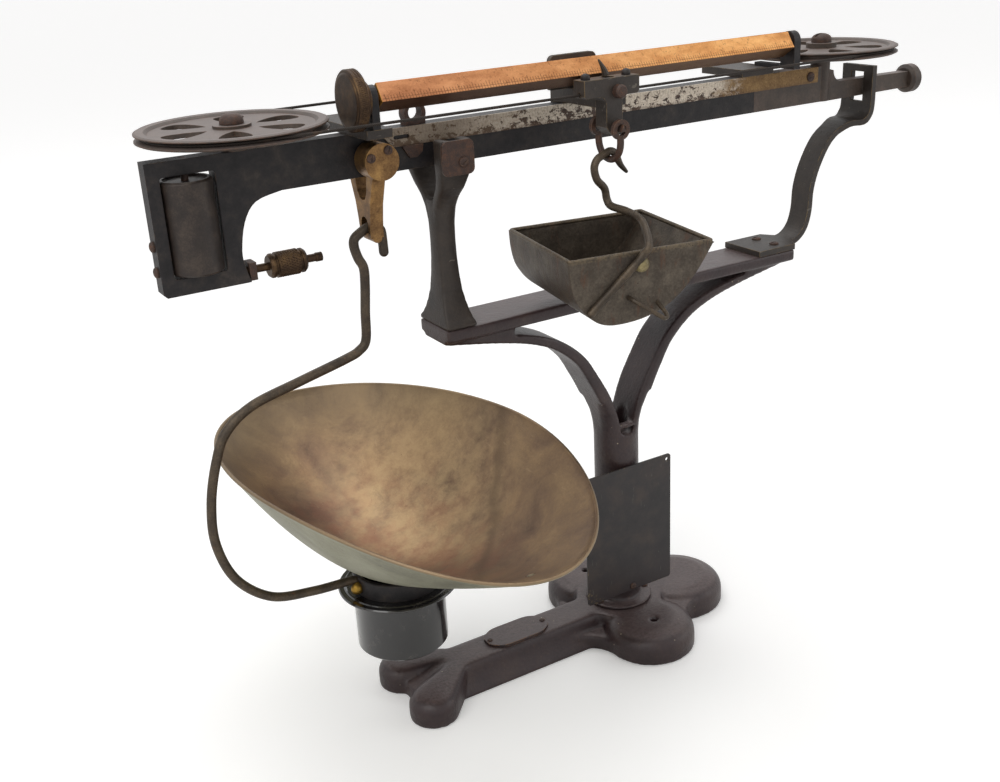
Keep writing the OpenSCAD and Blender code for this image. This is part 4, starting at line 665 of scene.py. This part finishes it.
def bucket_shell():
    """A sheet whose section is a smooth line through given (width, depth) shares, carried along Y and
    closed by flat end walls, which two crossed sine waves dent by half a millimetre."""
    shares = [(-1, 0), (-0.985, 0.26), (-0.94, 0.5), (-0.86, 0.67), (-0.76, 0.81), (-0.62, 0.935), (-0.45, 0.995),
              (-0.22, 0.995), (0.03, 0.96), (0.28, 0.865), (0.505, 0.7), (0.725, 0.455), (0.87, 0.23), (1, 0)]
    half_x, depth = 50.5, 44.5
    x, z = (smooth_line(shares, 6) * [half_x, -depth]).T
    count = len(x)
    along = np.linspace(-BUCKET_HALF_Y, BUCKET_HALF_Y, 41)[1:-1, None]
    up = np.linspace(1, 0, 15)[:, None]
    near = np.stack(np.broadcast_arrays(x, -BUCKET_HALF_Y, z * up), -1)
    wall = np.stack(np.broadcast_arrays(x, along, z), -1)
    points = np.vstack([near[::-1].reshape(-1, 3), wall.reshape(-1, 3), (near * [1, -1, 1]).reshape(-1, 3)])
    x, y, z = points.T
    dent = 0.5 * np.sin(x * 0.09 + 1) * np.sin(z * 0.11) * (1 - (x / 51.5) ** 2)
    points[:, 1] += np.where(np.abs(y) > BUCKET_HALF_Y - 0.5, -np.abs(dent) * np.sign(y), 0)
    return in_bucket(points), net(len(points) // count, count, False)


sheet = piece("bucket_sheet", *bucket_shell(), "bucket", ["bucket"], tin, "grey_sheet")
wall = sheet.modifiers.new("sheet", "SOLIDIFY")
wall.thickness, wall.offset, wall.use_even_offset = 1.2 * MM, -1, True
folds = sheet.modifiers.new("folds", "BEVEL")
folds.width, folds.segments, folds.limit_method, folds.angle_limit = 0.35 * MM, 2, "ANGLE", math.radians(50)


def rim_path():
    """A level oblong with round corners, along which the bucket's rim is rolled."""
    half_x, half_y, round_by = 49, 47, 1.5
    bend = np.radians(np.arange(0, 91, 15))
    corners = [(1, 1, 0), (-1, 1, math.pi / 2), (-1, -1, math.pi), (1, -1, 1.5 * math.pi)]
    return np.vstack([np.stack([sx * half_x + round_by * np.cos(bend + start),
                                sy * half_y + round_by * np.sin(bend + start), bend * 0], -1)
                      for sx, sy, start in corners])


points, faces = ring_tube(rim_path(), 1.4, 14)
piece("bucket_rolled_rim", in_bucket(points), faces, "bucket", ["bucket"], tin, "grey_sheet")


def in_ring(points):
    """The pan's own points, turned and stood in the ring."""
    return turned_flat(points, PAN_TURN, [RING_X, 0, RING_TOP])


def oval_pan():
    """An oval scoop with a low lip at its near end: a point at share s of the way out to the rim is
    rise s ** power high, where rise and power fall towards the near end. Outside, rolled rim, then inside."""
    columns, thick, bead_r, inner_lift = 144, 1.2, 1.3, 1.08
    s = np.linspace(0, 1, 41)
    bead = np.radians(np.arange(-60, 200, 26))
    a = round_turn(columns)
    near, away = np.maximum(0, -np.sin(a)) ** 2, np.maximum(0, np.sin(a)) ** 2
    rise, power = 84.4 - 28 * near - 7 * away, 2.1 - 0.7 * near
    shift = np.concatenate([s * 0, 0.2 + bead_r * np.cos(bead), -thick * s[::-1]])
    scale = np.concatenate([s, bead * 0 + 1, s[::-1]])
    lift = np.concatenate([s * 0, bead_r + bead_r * np.sin(bead), s * 0 + inner_lift])
    height = rise * scale[:, None] ** power + lift[:, None]
    half_x, half_y = PAN_HALF
    out = np.stack([half_y * np.cos(a), half_x * np.sin(a)], -1)
    out /= np.linalg.norm(out, axis=1, keepdims=True)
    rim = np.stack([PAN_MIDDLE[0] + half_x * np.cos(a), PAN_MIDDLE[1] + half_y * np.sin(a)], -1)
    flat = scale[:, None, None] * rim + shift[:, None, None] * out
    points = np.concatenate([flat, height[:, :, None]], -1).reshape(-1, 3)
    return in_ring(points), net(len(height), columns)[:, ::-1]


dish = piece("pan_dish", *oval_pan(), "pan", ["pan"], patina, "pan_brass")
hole_x, hole_y, _ = in_ring([[*PAN_HOLE, 0]])[0] * MM
bpy.ops.mesh.primitive_cylinder_add(vertices=32, radius=PAN_HOLE_R * MM, depth=0.4, location=(hole_x, hole_y, 0.15))
drill = bpy.context.object
cut = dish.modifiers.new("hole", "BOOLEAN")
cut.operation, cut.object, cut.solver = "DIFFERENCE", drill, "EXACT"
settle(dish)
bpy.data.objects.remove(drill)


def crossed_waves(x, angle, around, lean):
    """Two waves that slant each way round the axis, from 0 where both are low to 2 where both are high."""
    return np.abs(np.sin(around * angle + x * lean)) + np.abs(np.sin(around * angle - x * lean))


def rim_knurl(x, angle):
    """Fine diamonds sunk into the rim between its two corners."""
    return np.where((x > 1.6) & (x < 6.8), 0.35 * (crossed_waves(x, angle, 45, 0.9) - 2), 0)


def nut_knurl(x, angle):
    """Coarse diamonds over the nut's middle, fading over half a millimetre at each end."""
    on = np.clip((x - 4.9) / 0.5, 0, 1) * np.clip((19.1 - x) / 0.5, 0, 1)
    return on * (0.42 * crossed_waves(x, angle, 12, 0.95) - 0.8)


knob_profile = [[0, 0.01], [0, 15.2], [0.3, 16], [0.8, 16.4], [0.8, 17.6], [1.6, 18.4], [6.8, 18.4], [7.6, 17.6],
                [7.6, 11.6], [7.9, 11.04], [12.1, 11.04], [12.4, 10.7], [12.4, 0.01]]
piece("knurled_knob", *turned(knob_profile, 0.45, 550, [KNOB_X, PRISM_Y, PRISM_Z], rim_knurl), "prism",
      ["prism_knob"], knob_brass, "old_brass")

nut_profile = [[0.01, 2.55], [0, 6.5], [1.5, 7.7], [3, 7.7], [3.4, 6.8], [4.6, 6.8], [5, 8.1], [19, 8.1],
               [19.4, 6.8], [20.6, 6.8], [21, 7.7], [22.5, 7.7], [24, 6.5], [23.99, 2.55]]
piece("knurled_nut", *turned(nut_profile, 0.3, 288, [NUT_X, 0, NUT_Z], nut_knurl), "balance_nut",
      ["balance_nut"], knob_brass, "old_brass")


def soft_lamp(name, place, size, power, tone):
    """A square soft lamp that looks at the scale's middle."""
    middle = Vector((-0.05, 0, 0.25))
    lamp = bpy.data.lights.new(name, "AREA")
    lamp.size, lamp.energy, lamp.color = size, power, tone
    made = added(name, lamp)
    made.location = place
    made.rotation_euler = (middle - Vector(place)).to_track_quat("-Z", "Y").to_euler()


soft_lamp("soft lamp left", (-1.3, -0.7, 1.5), 1.3, 13, (1, 0.985, 0.96))
soft_lamp("soft lamp above", (0.1, 0.5, 1.9), 1.6, 15, (1, 1, 1))
soft_lamp("soft lamp right", (1.6, -1.0, 0.9), 1.2, 5, (0.97, 0.985, 1))


def studio_world():
    """Even pale light on the object, and a near-white backdrop for what the camera, gloss and glass see."""
    room = bpy.data.worlds.new("studio")
    bpy.context.scene.world = room
    room.use_nodes = True
    nodes, links = room.node_tree.nodes, room.node_tree.links
    back, seen, join = nodes["Background"], nodes.new("ShaderNodeBackground"), nodes.new("ShaderNodeMixShader")
    ray, either, any_ray = nodes.new("ShaderNodeLightPath"), nodes.new("ShaderNodeMath"), nodes.new("ShaderNodeMath")
    either.operation = any_ray.operation = "MAXIMUM"
    for shader, colour, strength in ((back, (1, 0.99, 0.97, 1), 0.5), (seen, (0.93, 0.935, 0.94, 1), 1)):
        shader.inputs["Color"].default_value, shader.inputs["Strength"].default_value = colour, strength
    for a, b in [(ray.outputs["Is Camera Ray"], either.inputs[0]), (ray.outputs["Is Glossy Ray"], either.inputs[1]),
                 (either.outputs[0], any_ray.inputs[0]), (ray.outputs["Is Transmission Ray"], any_ray.inputs[1]),
                 (any_ray.outputs[0], join.inputs[0]), (back.outputs[0], join.inputs[1]),
                 (seen.outputs[0], join.inputs[2]), (join.outputs[0], nodes["World Output"].inputs["Surface"])]:
        links.new(a, b)


def pale_floor():
    """A level floor, a little under the scale's foot, that glows for the camera alone and more so far away."""
    across, half, below = 9, 60, 0.0002
    span = np.linspace(-1, 1, across) * half
    x, y = np.meshgrid(span, span)
    mesh = bpy.data.meshes.new("floor")
    grid = np.stack([x, y, x * 0 - below], -1).reshape(-1, 3)
    mesh.from_pydata(grid.tolist(), [], net(across, across, False).tolist())
    f = Finish("pale floor", Roughness=0.75, Specular_IOR_Level=0.2, Emission_Color=(1, 1, 1, 1))
    far = (f.x * f.x + f.y * f.y).maths("SQRT")
    shade = f.mix(far.rise(0.5, 1.6), "#fdfdfd", "#f4f4f5")
    seen = f.node("ShaderNodeLightPath", out="Is Camera Ray")
    mesh.materials.append(f.done(shade, glow=seen * (far.rise(0.6, 2.4) * 0.28 + 0.18)))
    floor = added("floor", mesh)


studio_world()
pale_floor()
bpy.context.scene.view_settings.view_transform = "Standard"
